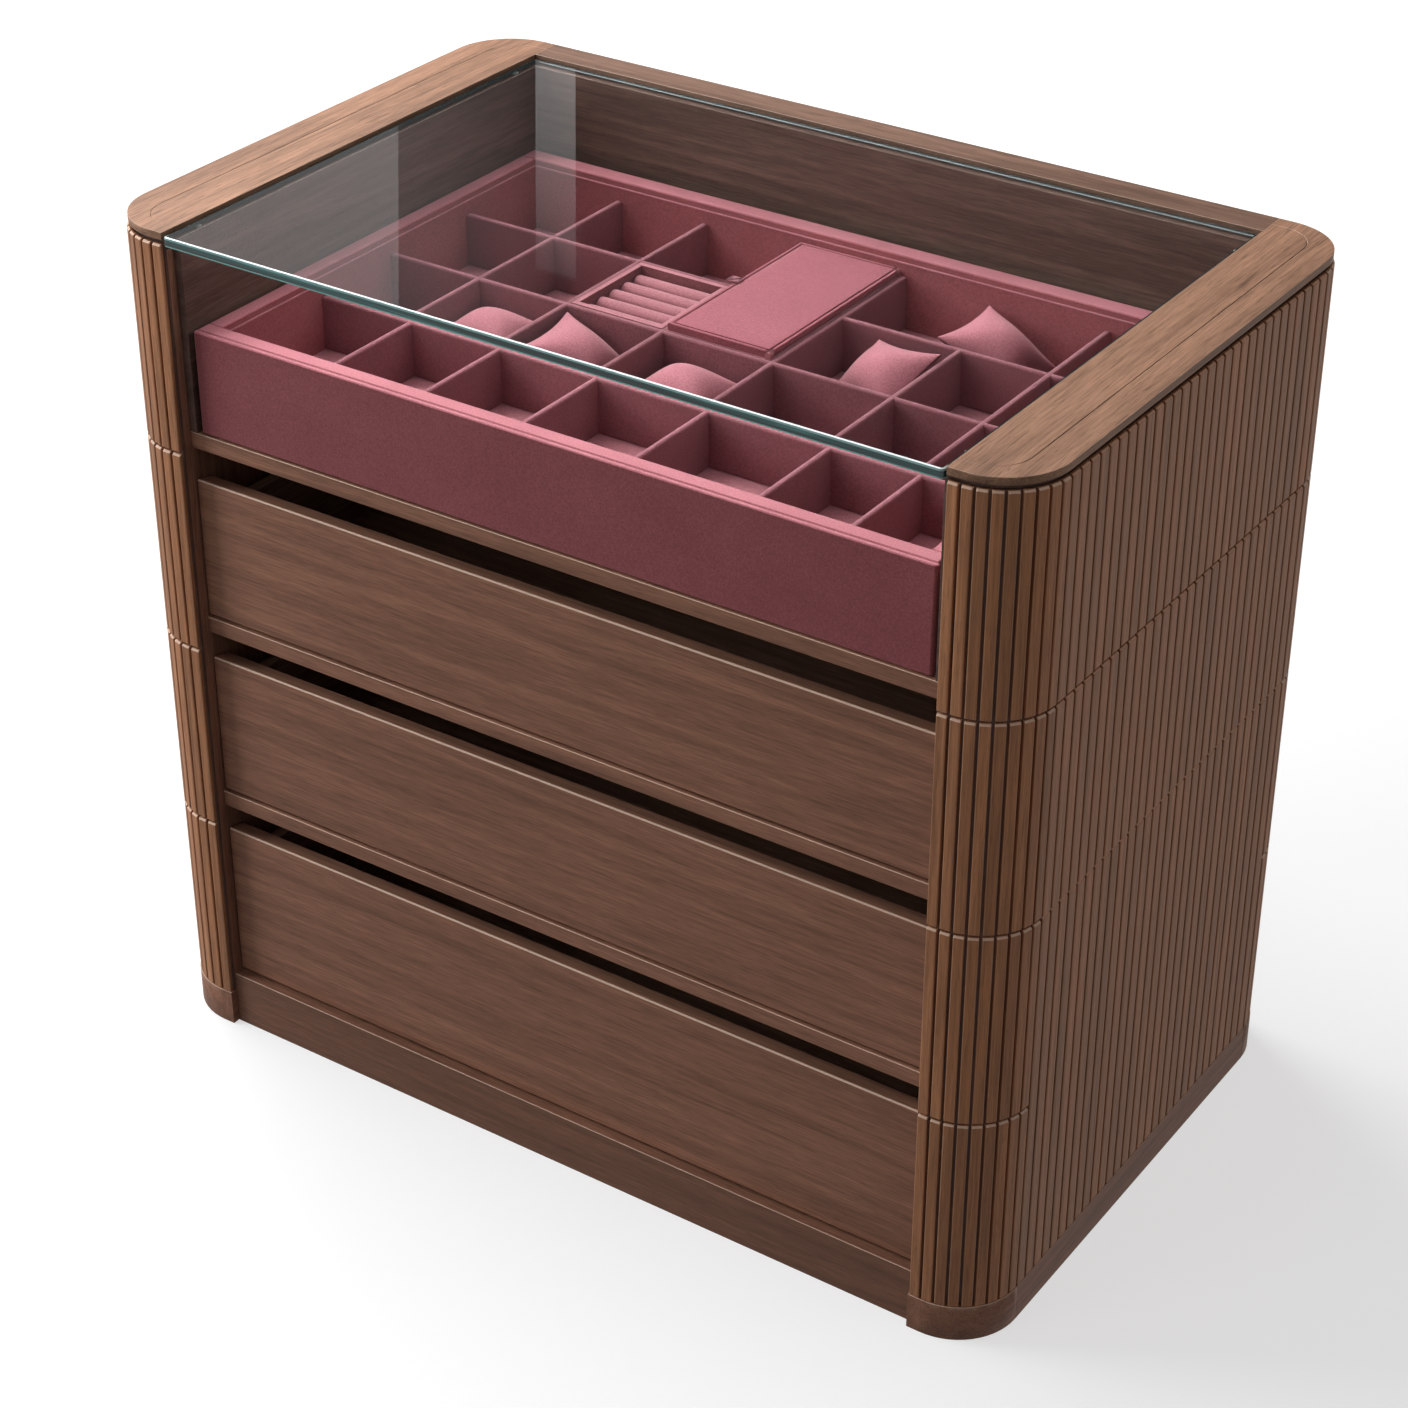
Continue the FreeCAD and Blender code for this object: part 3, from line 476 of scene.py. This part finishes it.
# Material, width and steps of the eased edges, and the nodes. Replaced nodes need no finish
FINISHES = (
    (cap_walnut, 0.0009, 2, ["cap_fields"]),
    (cap_walnut, 0.0005, 2, ["cap_borders"]),
    (rail_walnut, 0.0004, 2, ["back_top_rail"]),
    (front_walnut, 0.0010, 2, ["front_rails"]),
    (front_walnut, 0.0004, 2, ["dust_panels"]),
    (plinth_walnut, 0.0010, 2, ["front_plinth"]),
    (front_walnut, 0.0008, 2, of_drawers("front")),
    (box_deep, 0.0006, 2, of_drawers("box")),
    (box_along, 0.0004, 2, of_drawers("bottom")),
    (zinc_steel, 0.0002, 1, of_drawers("runner_middles")),
    (zinc_steel, 0.0002, 1, of_drawers("runner_inners")),
    (zinc_steel, 0.0002, 1, ["runner_fixed_members"]),
    (zinc_steel, 0.0005, 2, ["back_panel_screws"]),
    (carcass_upright, 0.0006, 2, ["gable_lippings", "gables"]),
    (base_walnut, 0.0008, 2, ["base_corner_blocks", "base_boards"]),
    (inner_upright, 0.0004, 2, ["corner_posts", "side_panels", "back_panel"]),
    (inner_along, 0.0004, 2, ["bottom_panel", "rear_plinth", "rear_beam", "bay_back"]),
    (inner_deep, 0.0004, 2, ["bay_liners", "column_top_boards"]),
    (rose_suede, 0.0022, 4, ["tray_walls"]),
    (rose_suede, 0.0012, 3, ["tray_rim", "tray_base"]),
    (lining_suede, 0.0010, 3, ["ring_insert_frame", "lidded_box_walls"]),
    (lid_suede, 0.0010, 3, ["box_lid"]),
    (rose_enamel, 0.0008, 3, ["lid_hinge"]),
    (clear_rubber, 0.0003, 2, ["glass_bumpers"]),
    (glide_plastic, 0.0004, 2, ["tray_glides"]),
)

for material, width, segments, nodes in FINISHES:
    for node in nodes:
        dress(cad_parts[node], material)
        soften(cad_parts[node], width, segments)


# ---------------------------------------------------------------- shaping by hand


def select_only(*pieces):
    """Selects these pieces alone. The first is the active one."""
    bpy.ops.object.select_all(action="DESELECT")
    for piece in pieces:
        piece.select_set(True)
    if pieces:
        bpy.context.view_layer.objects.active = pieces[0]


def add_object(name, data):
    piece = bpy.data.objects.new(name, data)
    bpy.context.scene.collection.objects.link(piece)
    return piece


def start_block(name, low, high):
    """A block between two corners, alone selected, to be shaped."""
    select_only()
    low, high = Vector(low), Vector(high)
    bpy.ops.mesh.primitive_cube_add(size=1, location=(low + high) / 2)
    piece = bpy.context.object
    piece.name = name
    piece.scale = high - low
    bpy.ops.object.transform_apply(location=True, rotation=True, scale=True)
    return piece


def pick_edges(piece, wanted):
    """Goes into edit mode with only the edges selected whose two ends pass the test."""
    bpy.ops.object.mode_set(mode="OBJECT")
    bpy.context.tool_settings.mesh_select_mode = (False, True, False)
    mesh = piece.data
    for items in (mesh.vertices, mesh.edges, mesh.polygons):
        for item in items:
            item.select = False
    for edge in mesh.edges:
        a, b = (mesh.vertices[i].co for i in edge.vertices)
        edge.select = bool(wanted(a, b))
    bpy.ops.object.mode_set(mode="EDIT")


def upright(a, b):
    """Test for the upright edges of a block."""
    return abs(a.z - b.z) > TINY


def top_at(level):
    """Test for the edges at the top of a piece."""
    return lambda a, b: min(a.z, b.z) > level - TINY


def foot_at(level):
    """Test for the edges at the foot of a piece."""
    return lambda a, b: max(a.z, b.z) < level + TINY


def bevel_edges(piece, wanted, width, segments=1):
    pick_edges(piece, wanted)
    bpy.ops.mesh.bevel(
        offset=width, offset_type="OFFSET", segments=segments, profile=0.5, affect="EDGES"
    )
    bpy.ops.object.mode_set(mode="OBJECT")


def inset_top(piece, level, steps):
    """Insets the top face again and again, by a width and a depth each time."""
    pick_edges(piece, top_at(level))
    bpy.ops.mesh.select_mode(type="FACE")
    for width, depth in steps:
        bpy.ops.mesh.inset(thickness=width, depth=depth)
    bpy.ops.object.mode_set(mode="OBJECT")


def round_block(name, low, high, roundness, segments=4):
    """A block whose top is rounded along all its edges."""
    piece = start_block(name, low, high)
    bevel_edges(piece, top_at(high[2]), roundness, segments)
    return piece


def join(pieces, name):
    """Makes one piece of several."""
    select_only(*pieces)
    bpy.ops.object.join()
    whole = bpy.context.view_layer.objects.active
    whole.name = name
    whole.data.name = name
    return whole


def shade(piece):
    """Smooth shading, but for the sharp edges."""
    select_only(piece)
    bpy.ops.object.shade_smooth_by_angle(angle=math.radians(SHARP_ANGLE))


def settle(piece, material, body, replaced=()):
    """Gives a piece its material and its body."""
    dress(piece, material)
    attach(piece, body)
    if replaced:
        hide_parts(*replaced)


# ---------------------------------------------------------------- glass


def model_glass():
    """The pane with round corners and a ground arris all round, above and below."""
    low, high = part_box("glass_top")
    pane = start_block("glass_pane", low, high)
    bevel_edges(pane, upright, GLASS_CORNER_R, 5)
    bevel_edges(pane, foot_at(low.z), GLASS_ARRIS, 2)
    bevel_edges(pane, top_at(high.z), GLASS_ARRIS, 2)
    settle(pane, float_glass, "cabinet", ["glass_top"])
    pane.data.materials.append(glass_arris)
    pane.data.materials.append(cut_glass)
    # The faces that lie flat are clear, those that slope are ground, the upright ones are the cut
    for face in pane.data.polygons:
        level = abs(face.normal.z)
        face.material_index = 2 if level < 0.1 else int(level < 0.99)


model_glass()


# ---------------------------------------------------------------- tray


def model_dividers():
    """Cloth-wrapped dividers with round tops.

    The last but one stops short of the double cell at the back, and the rearmost cross divider
    leaves out the lidded compartment.
    """
    half = DIVIDER_T / 2
    low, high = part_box("tray_long_dividers")
    short = ROWS[-1] + CAD_DIVIDER_T / 2
    boards = []
    for x in COLUMNS:
        back = short if x == SHORT_DIVIDER else high.y
        ends = (x - half, low.y, low.z), (x + half, back, high.z)
        boards.append(round_block("board", *ends, DIVIDER_ROUND))
    piece = join(boards, "long_dividers")
    shade(piece)
    settle(piece, divider_suede, "tray", ["tray_long_dividers"])
    low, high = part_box("tray_cross_dividers")
    boards = []
    for y in ROWS:
        spans = [(low.x, high.x)]
        if y == ROWS[-1]:
            spans = [(low.x, LID_SIDES[0]), (LID_SIDES[1], high.x)]
        for x0, x1 in spans:
            ends = (x0, y - half, low.z), (x1, y + half, high.z)
            boards.append(round_block("board", *ends, DIVIDER_ROUND))
    piece = join(boards, "cross_dividers")
    shade(piece)
    settle(piece, divider_suede, "tray", ["tray_cross_dividers"])


def model_pads():
    """Padded floor that is pressed down along the dividers."""
    low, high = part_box("tray_floor_pad")
    edge = high.z - PAD_DIP
    xs = (low.x, *COLUMNS, high.x)
    ys = (low.y, *ROWS, high.y)
    pads = []
    for x0, x1 in zip(xs, xs[1:]):
        for y0, y1 in zip(ys, ys[1:]):
            pad = start_block("pad", (x0, y0, low.z), (x1, y1, edge))
            inset_top(pad, edge, PAD_SWELL)
            pads.append(pad)
    piece = join(pads, "floor_pads")
    shade(piece)
    settle(piece, lining_suede, "tray", ["tray_floor_pad"])


def model_lid():
    """Piping round the lid's top, a padded field inside it, and painted shade in the seam."""
    low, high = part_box("box_lid")
    z0, z1 = high.z - LID_SINK, high.z + LID_COVER_T
    w, ear = LID_BORDER, LID_EAR
    bars = (
        ((low.x, low.y), (high.x - ear, low.y + w)),
        ((low.x, high.y - w), (high.x - ear, high.y)),
        ((low.x, low.y), (low.x + w, high.y)),
        ((high.x - w, low.y + ear), (high.x, high.y - ear)),
    )
    piping = [round_block("bar", (*a, z0), (*b, z1), LID_COVER_T) for a, b in bars]
    piece = join(piping, "lid_piping")
    shade(piece)
    settle(piece, lid_suede, "lid")
    w = LID_BORDER + LID_SEAM
    cover = start_block("lid_cover", (low.x + w, low.y + w, z0), (high.x - w, high.y - w, z1))
    bevel_edges(cover, top_at(z1), LID_COVER_ROUND, 3)
    inset_top(cover, z1, LID_SWELL)
    shade(cover)
    settle(cover, lid_suede, "lid")
    # Painted shade: a thin dark sheet under the seam, seen only in the groove between piping and
    # field
    w, z1 = LID_BORDER / 2, z0 + LID_SEAM_SHADE_T
    seam = start_block("lid_seam_shade", (low.x + w, low.y + w, z0), (high.x - w, high.y - w, z1))
    settle(seam, seam_thread_and_shade, "lid")


def model_tab():
    """The folded tab that pulls the lid up, with a line of stitching round it."""
    low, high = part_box("lid_pull_tab")
    z0, z1 = low.z + LID_COVER_T, high.z + LID_COVER_T
    tab = start_block("lid_tab", (low.x, low.y, z0), (high.x, high.y, z1))
    bevel_edges(tab, upright, TAB_CORNER_R, 3)
    bevel_edges(tab, top_at(z1), TAB_ROUND, 2)
    inset_top(tab, z1, TAB_STITCHING)
    shade(tab)
    # Painted shade: the tab takes the dividers' darker suede, standing in for the shade round it
    settle(tab, divider_suede, "lid", ["lid_pull_tab"])


def model_rim_piping():
    """Fine piping inside the rim, on top of the walls."""
    low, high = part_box("tray_floor_pad")
    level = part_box("tray_rim")[0].z
    x0, x1 = low.x - PIPING_OVERLAP, high.x + PIPING_OVERLAP
    y0, y1 = low.y - PIPING_OVERLAP, high.y + PIPING_OVERLAP
    z0, z1 = level - PIPING / 2, level + PIPING / 2
    bars = (
        ((x0, y0), (x1, y0 + PIPING)),
        ((x0, y1 - PIPING), (x1, y1)),
        ((x0, y0), (x0 + PIPING, y1)),
        ((x1 - PIPING, y0), (x1, y1)),
    )
    pipes = [round_block("bar", (*a, z0), (*b, z1), PIPING_ROUND, 3) for a, b in bars]
    piece = join(pipes, "rim_piping")
    shade(piece)
    settle(piece, piping_suede, "tray")


model_dividers()
model_pads()
model_lid()
model_tab()
model_rim_piping()


# ---------------------------------------------------------------- reeding


def corner_point(s):
    """Point of the slats' faces at distance s from the right column's inner edge."""
    radius = CORNER_R - SLAT_INSET
    centre = Vector((HALF_WIDTH - CORNER_R, FRONT + CORNER_R))
    run = centre.x - HALF_OPEN
    if s <= run:
        return Vector((HALF_OPEN + s, FRONT + SLAT_INSET))
    turn = (s - run) / radius - QUARTER
    return centre + radius * Vector((math.cos(turn), math.sin(turn)))


def side_point(s):
    """Point of the right side's faces at distance s behind its front corner."""
    return Vector((HALF_WIDTH - SLAT_INSET, FRONT + CORNER_R + s))


def slat_spans(point, length, count):
    """Start and end of each slat's face."""
    pitch = length / count
    return [
        (point(i * pitch + GROOVE_W / 2), point((i + 1) * pitch - GROOVE_W / 2))
        for i in range(count)
    ]


def flipped(spans, x=1, y=1):
    """The same slats on the other side, still with their outsides out."""
    return [(Vector((b.x * x, b.y * y)), Vector((a.x * x, a.y * y))) for a, b in spans]


def tiers(seams):
    """Foot and top of each tier."""
    spans = []
    low = BASE_H
    for share, gap in seams:
        level = BASE_H + share * (SLAT_TOP - BASE_H)
        spans.append((low, level - gap / 2))
        low = level + gap / 2
    return spans + [(low, SLAT_TOP)]


def model_slat(width, height):
    """A slat with its face on the XZ plane, its sides eased and a wider bevel on its top end."""
    half = width / 2
    slat = start_block("slat", (-half, 0, 0), (half, SLAT_DEPTH, height))

    def round_face(test):
        return lambda a, b: max(a.y, b.y) < SLAT_DEPTH / 2 and test(a, b)

    bevel_edges(slat, round_face(top_at(height)), SLAT_TOP_ARRIS)
    bevel_edges(slat, round_face(foot_at(0)), SLAT_FOOT_ARRIS)
    bevel_edges(slat, round_face(lambda a, b: abs(a.x - b.x) < half), SLAT_ARRIS, 2)
    return slat


def mark_wood(mesh):
    """Gives a slat its own cut and tone of wood, and marks its edges for a painted highlight."""
    cut = Vector([random.uniform(0, WOOD_RANGE) for _ in range(3)])
    own = random.random()
    mesh.attributes.new("board", "FLOAT_VECTOR", "POINT")
    mesh.attributes.new("tone", "FLOAT", "POINT")
    mesh.attributes.new("rim", "FLOAT", "POINT")
    places, tones, highlight_shares = (mesh.attributes[key].data for key in ("board", "tone", "rim"))
    for vertex, place, tone, rim in zip(mesh.vertices, places, tones, highlight_shares):
        place.vector = vertex.co + cut
        tone.value = own
        # rim runs from 0 on the face to 1 past the eased edge, and places the painted highlight
        rim.value = min(vertex.co.y / SLAT_ARRIS, 1.0)


def set_slat(mesh, start, end, foot):
    """Moves a slat to where its face runs from start to end, on a foot's level."""
    along = (end - start).normalized().to_3d()
    inward = Vector((-along.y, along.x, 0))
    middle = ((start + end) / 2).to_3d() + Vector((0, 0, foot))
    turn = Matrix((along, inward, Vector((0, 0, 1)))).transposed().to_4x4()
    mesh.transform(Matrix.Translation(middle) @ turn)


def reeding(name, spans, levels):
    """Copies of a slat on every span and every tier."""
    slats = []
    width = (spans[0][1] - spans[0][0]).length
    for low, high in levels:
        model = model_slat(width, high - low)
        for start, end in spans:
            mesh = model.data.copy()
            mark_wood(mesh)
            set_slat(mesh, start, end, low)
            slats.append(add_object(name, mesh))
        bpy.data.objects.remove(model)
    return join(slats, name)


def groove_backing(name, mirror):
    """The dark board that shows between the slats: a strip bent round both corners of a column."""
    select_only()
    y = FRONT + SLAT_INSET + GROOVE_D
    turn_x = HALF_WIDTH - CORNER_R
    turn_y = FRONT + CORNER_R
    middle = ((HALF_OPEN + turn_x) / 2, y, (BASE_H + SLAT_TOP) / 2)
    bpy.ops.mesh.primitive_plane_add(size=1, location=middle)
    strip = bpy.context.object
    strip.rotation_euler = (QUARTER, 0, 0)
    strip.scale = (turn_x - HALF_OPEN, SLAT_TOP - BASE_H, 1)
    bpy.ops.object.transform_apply(location=True, rotation=True, scale=True)
    bend = {"steps": BACKING_STEPS, "angle": QUARTER, "axis": (0, 0, -1), "dupli": False}
    pick_edges(strip, lambda a, b: min(a.x, b.x) > turn_x - TINY)
    bpy.ops.mesh.spin(center=(turn_x, turn_y, 0), **bend)
    bpy.ops.mesh.extrude_edges_move(TRANSFORM_OT_translate={"value": (0, -2 * turn_y, 0)})
    bpy.ops.mesh.spin(center=(turn_x, -turn_y, 0), **bend)
    bpy.ops.mesh.extrude_edges_move(TRANSFORM_OT_translate={"value": (HALF_OPEN - turn_x, 0, 0)})
    bpy.ops.mesh.select_all(action="SELECT")
    bpy.ops.mesh.remove_doubles(threshold=TINY)
    bpy.ops.object.mode_set(mode="OBJECT")
    if mirror < 0:
        strip.data.transform(Matrix.Scale(-1, 4, (1, 0, 0)))
        strip.data.flip_normals()
    strip.name = name
    thick = strip.modifiers.new("thickness", "SOLIDIFY")
    thick.thickness = BACKING_T
    thick.offset = -1
    bpy.ops.object.modifier_apply(modifier="thickness")
    return strip


corner_run = HALF_WIDTH - CORNER_R - HALF_OPEN + (CORNER_R - SLAT_INSET) * QUARTER
corner_spans = slat_spans(corner_point, corner_run, CORNER_SLATS)
corner_spans += flipped(corner_spans, y=-1)
side_spans = slat_spans(side_point, -2 * FRONT - 2 * CORNER_R, SIDE_SLATS)
for side, mirror in COLUMN_SIDES:
    corners = corner_spans if mirror == 1 else flipped(corner_spans, x=-1)
    sides = side_spans if mirror == 1 else flipped(side_spans, x=-1)
    piece = reeding("corner_reeding_" + side, corners, tiers(CORNER_TIERS))
    settle(piece, corner_walnut, "cabinet", ["corner_slats_" + side])
    piece = reeding("side_reeding_" + side, sides, tiers(SIDE_TIERS))
    settle(piece, side_walnut, "cabinet", ["side_slats_" + side])
for side, mirror in COLUMN_SIDES:
    piece = groove_backing("groove_backing_" + side, mirror)
    settle(piece, inner_upright, "cabinet")


# ---------------------------------------------------------------- cushions and ring rolls


def blow_up(bag, pressure, frames, held=""):
    """Fills a closed bag about a metre across, as stuffed cloth fills, by simulation.

    The vertices of the group held keep their places.
    """
    cloth = bag.modifiers.new("cloth", "CLOTH")
    cloth.settings.quality = 5
    cloth.settings.tension_stiffness = 15
    cloth.settings.compression_stiffness = 15
    cloth.settings.shear_stiffness = 5
    cloth.settings.bending_stiffness = 0.5
    cloth.settings.use_pressure = True
    cloth.settings.uniform_pressure_force = pressure
    cloth.settings.effector_weights.gravity = 0
    if held:
        cloth.settings.vertex_group_mass = held
    bpy.context.view_layer.objects.active = bag
    for step in range(1, frames + 1):
        bpy.context.scene.frame_set(step)
    bpy.ops.object.modifier_apply(modifier="cloth")
    bpy.context.scene.frame_set(1)


def smooth(piece):
    """Adds a subdivision and smooth shading."""
    select_only(piece)
    finer = piece.modifiers.new("finer", "SUBSURF")
    finer.levels = finer.render_levels = 1
    bpy.ops.object.modifier_apply(modifier="finer")
    bpy.ops.object.shade_smooth()


def fit_to(piece, size):
    """Centres a piece on the origin and scales it to a size."""
    corners = [v.co for v in piece.data.vertices]
    low = Vector(min(c[i] for c in corners) for i in range(3))
    high = Vector(max(c[i] for c in corners) for i in range(3))
    piece.data.transform(Matrix.Translation(-(low + high) / 2))
    share = [whole / (b - a) for whole, a, b in zip(size, low, high)]
    piece.data.transform(Matrix.Diagonal((*share, 1)))


def model_cushion():
    """Square watch pillow, lying flat about the origin, its sides drawn in between its corners."""
    select_only()
    bpy.ops.mesh.primitive_grid_add(
        x_subdivisions=CUSHION_CUTS, y_subdivisions=CUSHION_CUTS, size=1
    )
    bag = bpy.context.object
    for vertex in bag.data.vertices:
        x, y = vertex.co.x, vertex.co.y
        vertex.co.x = x * (1 - CUSHION_DRAW * (1 - 4 * y * y))
        vertex.co.y = y * (1 - CUSHION_DRAW * (1 - 4 * x * x))
    bpy.ops.object.mode_set(mode="EDIT")
    bpy.ops.mesh.select_all(action="SELECT")
    bpy.ops.mesh.region_to_loop()
    bpy.ops.object.vertex_group_assign_new()
    bag.vertex_groups[0].name = "seam"
    bpy.ops.mesh.select_mode(type="FACE")
    bpy.ops.mesh.select_all(action="SELECT")
    bpy.ops.mesh.extrude_region_move(TRANSFORM_OT_translate={"value": (0, 0, CUSHION_EDGE)})
    bpy.ops.mesh.select_all(action="SELECT")
    bpy.ops.mesh.normals_make_consistent(inside=False)
    bpy.ops.object.mode_set(mode="OBJECT")
    blow_up(bag, CUSHION_PRESSURE, CUSHION_FRAMES, "seam")
    fit_to(bag, (CUSHION_SIDE, CUSHION_SIDE, CUSHION_T))
    smooth(bag)
    return bag


def model_roll(length, radius):
    """Padded roll along X about the origin, blown up a little between its ends."""
    select_only()
    bpy.ops.mesh.primitive_cylinder_add(
        vertices=ROLL_SIDES,
        radius=radius * ROLL_SCALE,
        depth=length * ROLL_SCALE,
        rotation=(0, QUARTER, 0),
    )
    roll = bpy.context.object
    bpy.ops.object.transform_apply(location=True, rotation=True, scale=True)
    end = length * ROLL_SCALE / 2
    bevel_edges(roll, lambda a, b: abs(a.x - b.x) < end, ROLL_ROUND * radius * ROLL_SCALE, 3)
    pick_edges(roll, lambda a, b: abs(a.x - b.x) > end)
    bpy.ops.mesh.subdivide(number_cuts=ROLL_CUTS)
    bpy.ops.object.mode_set(mode="OBJECT")
    blow_up(roll, ROLL_PRESSURE, ROLL_FRAMES)
    fit_to(roll, (length, 2 * radius, 2 * radius))
    smooth(roll)
    return roll


cushion = model_cushion()

# The faces whose corners all lie on the seam are its thread
on_seam = {v.index for v in cushion.data.vertices if v.groups and v.groups[0].weight > 0.99}
seam_faces = [int(on_seam.issuperset(face.vertices)) for face in cushion.data.polygons]
for node, (spin, lean, turn) in CUSHIONS.items():
    low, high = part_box(node)
    piece = add_object("cushion_" + node[-1], cushion.data.copy())
    turned = Matrix.Identity(4)
    for angle, axis in ((spin, "Z"), (lean, "X"), (turn, "Z")):
        turned = Matrix.Rotation(math.radians(angle), 4, axis) @ turned
    piece.data.transform(turned)
    lowest = min(v.co.z for v in piece.data.vertices)
    middle = (low + high) / 2
    piece.data.transform(Matrix.Translation((middle.x, middle.y, low.z - lowest)))
    settle(piece, cushion_suede, "tray", [node])
    piece.data.materials.append(seam_thread_and_shade)
    piece.data.polygons.foreach_set("material_index", seam_faces)
bpy.data.objects.remove(cushion)

low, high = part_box("ring_rolls")
radius = (high.z - low.z) / 2
roll = model_roll(high.x - low.x, radius)
pitch = (high.y - low.y - 2 * radius) / (ROLL_COUNT - 1)
for number in range(ROLL_COUNT):
    piece = add_object("ring_roll_%d" % (number + 1), roll.data.copy())
    middle = (low + high) / 2
    middle.y = low.y + radius + number * pitch
    piece.data.transform(Matrix.Translation(middle))
    settle(piece, lining_suede, "tray", ["ring_rolls"])
bpy.data.objects.remove(roll)


# ---------------------------------------------------------------- studio


def backdrop_finish(name, colour, thrown, near, far):
    """Pale floor that is seen brighter than the lamps make it, the more so far from the cabinet.

    It throws light on the cabinet as if it had the colour thrown.
    """
    finish = Finish(name, Roughness=0.9, Specular_IOR_Level=0.0)
    camera_ray = finish.add("LightPath").outputs["Is Camera Ray"]
    tone = finish.mix(camera_ray, rgb(thrown), rgb(colour))
    away = finish.add("VectorMath", {0: finish.place()}, operation="LENGTH").outputs["Value"]
    lift = finish.spread(away, near, far, start=1.1, end=3.2)
    strength = finish.calculate("MULTIPLY", finish.seen(), lift)
    light = {"Emission Color": WHITE, "Emission Strength": strength}
    finish.feed(finish.shader, {"Base Color": tone, **light})
    return finish.material


def softbox(name, place, size, power, colour=(1.0, 1.0, 1.0)):
    """A lamp that points at the middle of the cabinet."""
    lamp = bpy.data.lights.new(name, "AREA")
    lamp.color = colour
    lamp.shape = "RECTANGLE"
    lamp.size, lamp.size_y = size
    lamp.energy = power
    holder = add_object(name, lamp)
    holder.location = place
    holder.rotation_euler = (Vector(MIDDLE) - Vector(place)).to_track_quat("-Z", "Y").to_euler()


def card(name, depth, corners, axis, start, end):
    """A card behind the cabinet that only mirrors see, as a photographer stands beside a glass top.

    Its corners are low left, low right, high left and high right. Its brightness runs evenly
    along an axis from start to end, each a place and the brightness there.
    """
    select_only()
    bpy.ops.mesh.primitive_plane_add(size=1)
    screen = bpy.context.object
    screen.name = name
    for vertex, (x, z) in zip(screen.data.vertices, corners):
        vertex.co = (x, depth, z)
    finish = Finish(
        name, Base_Color=rgb("#000000"), Specular_IOR_Level=0.0, Emission_Color=WHITE
    )
    light = finish.spread(finish.coordinate(axis), start[1], end[1], start[0], end[0])
    finish.feed(finish.shader, {"Emission Strength": light})
    screen.data.materials.append(finish.material)
    screen.visible_camera = screen.visible_diffuse = screen.visible_shadow = False
    screen.visible_volume_scatter = False


select_only()
bpy.ops.mesh.primitive_plane_add(size=2 * FLOOR_HALF, location=(0, 0, 0))
floor = bpy.context.object
floor.name = "floor"
floor.data.materials.append(backdrop_finish("pale_floor", "#b4b4b4", "#4c4c4c", 0.6, 0.9))

world = bpy.data.worlds.new("studio")
bpy.context.scene.world = world
world.use_nodes = True
world.node_tree.nodes.clear()
studio = Nodes(world.node_tree)
room = studio.add("Background", {"Color": WHITE, "Strength": ROOM_LIGHT}).outputs[0]
white = studio.add("Background", {"Color": WHITE}).outputs[0]
both = studio.add("MixShader", {0: studio.seen(), 1: room, 2: white}).outputs[0]
studio.add("OutputWorld", {"Surface": both})

softbox("top_light", (-1.6, 0.5, 3.1), (2.0, 1.8), 98)
softbox("left_light", (-3.2, -1.6, 2.2), (1.4, 1.8), 89, (0.94, 0.98, 1.0))
softbox("front_light", (-1.6, -3.8, 2.6), (2.0, 1.6), 18)
softbox("right_light", (3.3, 0.6, 1.9), (1.6, 2.0), 5)

corners = ((-4.2, 0.95), (1.2, 0.95), (-4.2, 4.6), (1.2, 4.6))
card("grey_card", 2.70, corners, "Z", (1.0, 0.5), (4.0, 0.4))
corners = ((-2.054, 0.9), (1.4, 0.9), (-2.137, 4.7), (1.4, 4.7))
card("black_card", 2.60, corners, "Z", (1.0, 0.01), (4.0, 0.01))
corners = ((-2.479, 0.9), (-2.04, 0.9), (-2.706, 4.7), (-2.12, 4.7))
card("fading_card", 2.60, corners, "X", (-2.55, 0.16), (-2.1, 0.02))
corners = ((-2.142, 0.9), (-2.052, 0.9), (-2.188, 2.4), (-2.085, 2.4))
card("strip_card", 2.58, corners, "Z", (1.0, 1.3), (2.4, 0.12))

camera = bpy.data.cameras.new("camera")
camera.lens = CAMERA_LENS
camera.sensor_width = CAMERA_SENSOR
camera.clip_start = CAMERA_NEAR
holder = add_object("camera", camera)
holder.location = CAMERA_PLACE
holder.rotation_euler = [math.radians(a) for a in CAMERA_TURN]
bpy.context.scene.camera = holder
bpy.context.scene.view_settings.view_transform = "Standard"
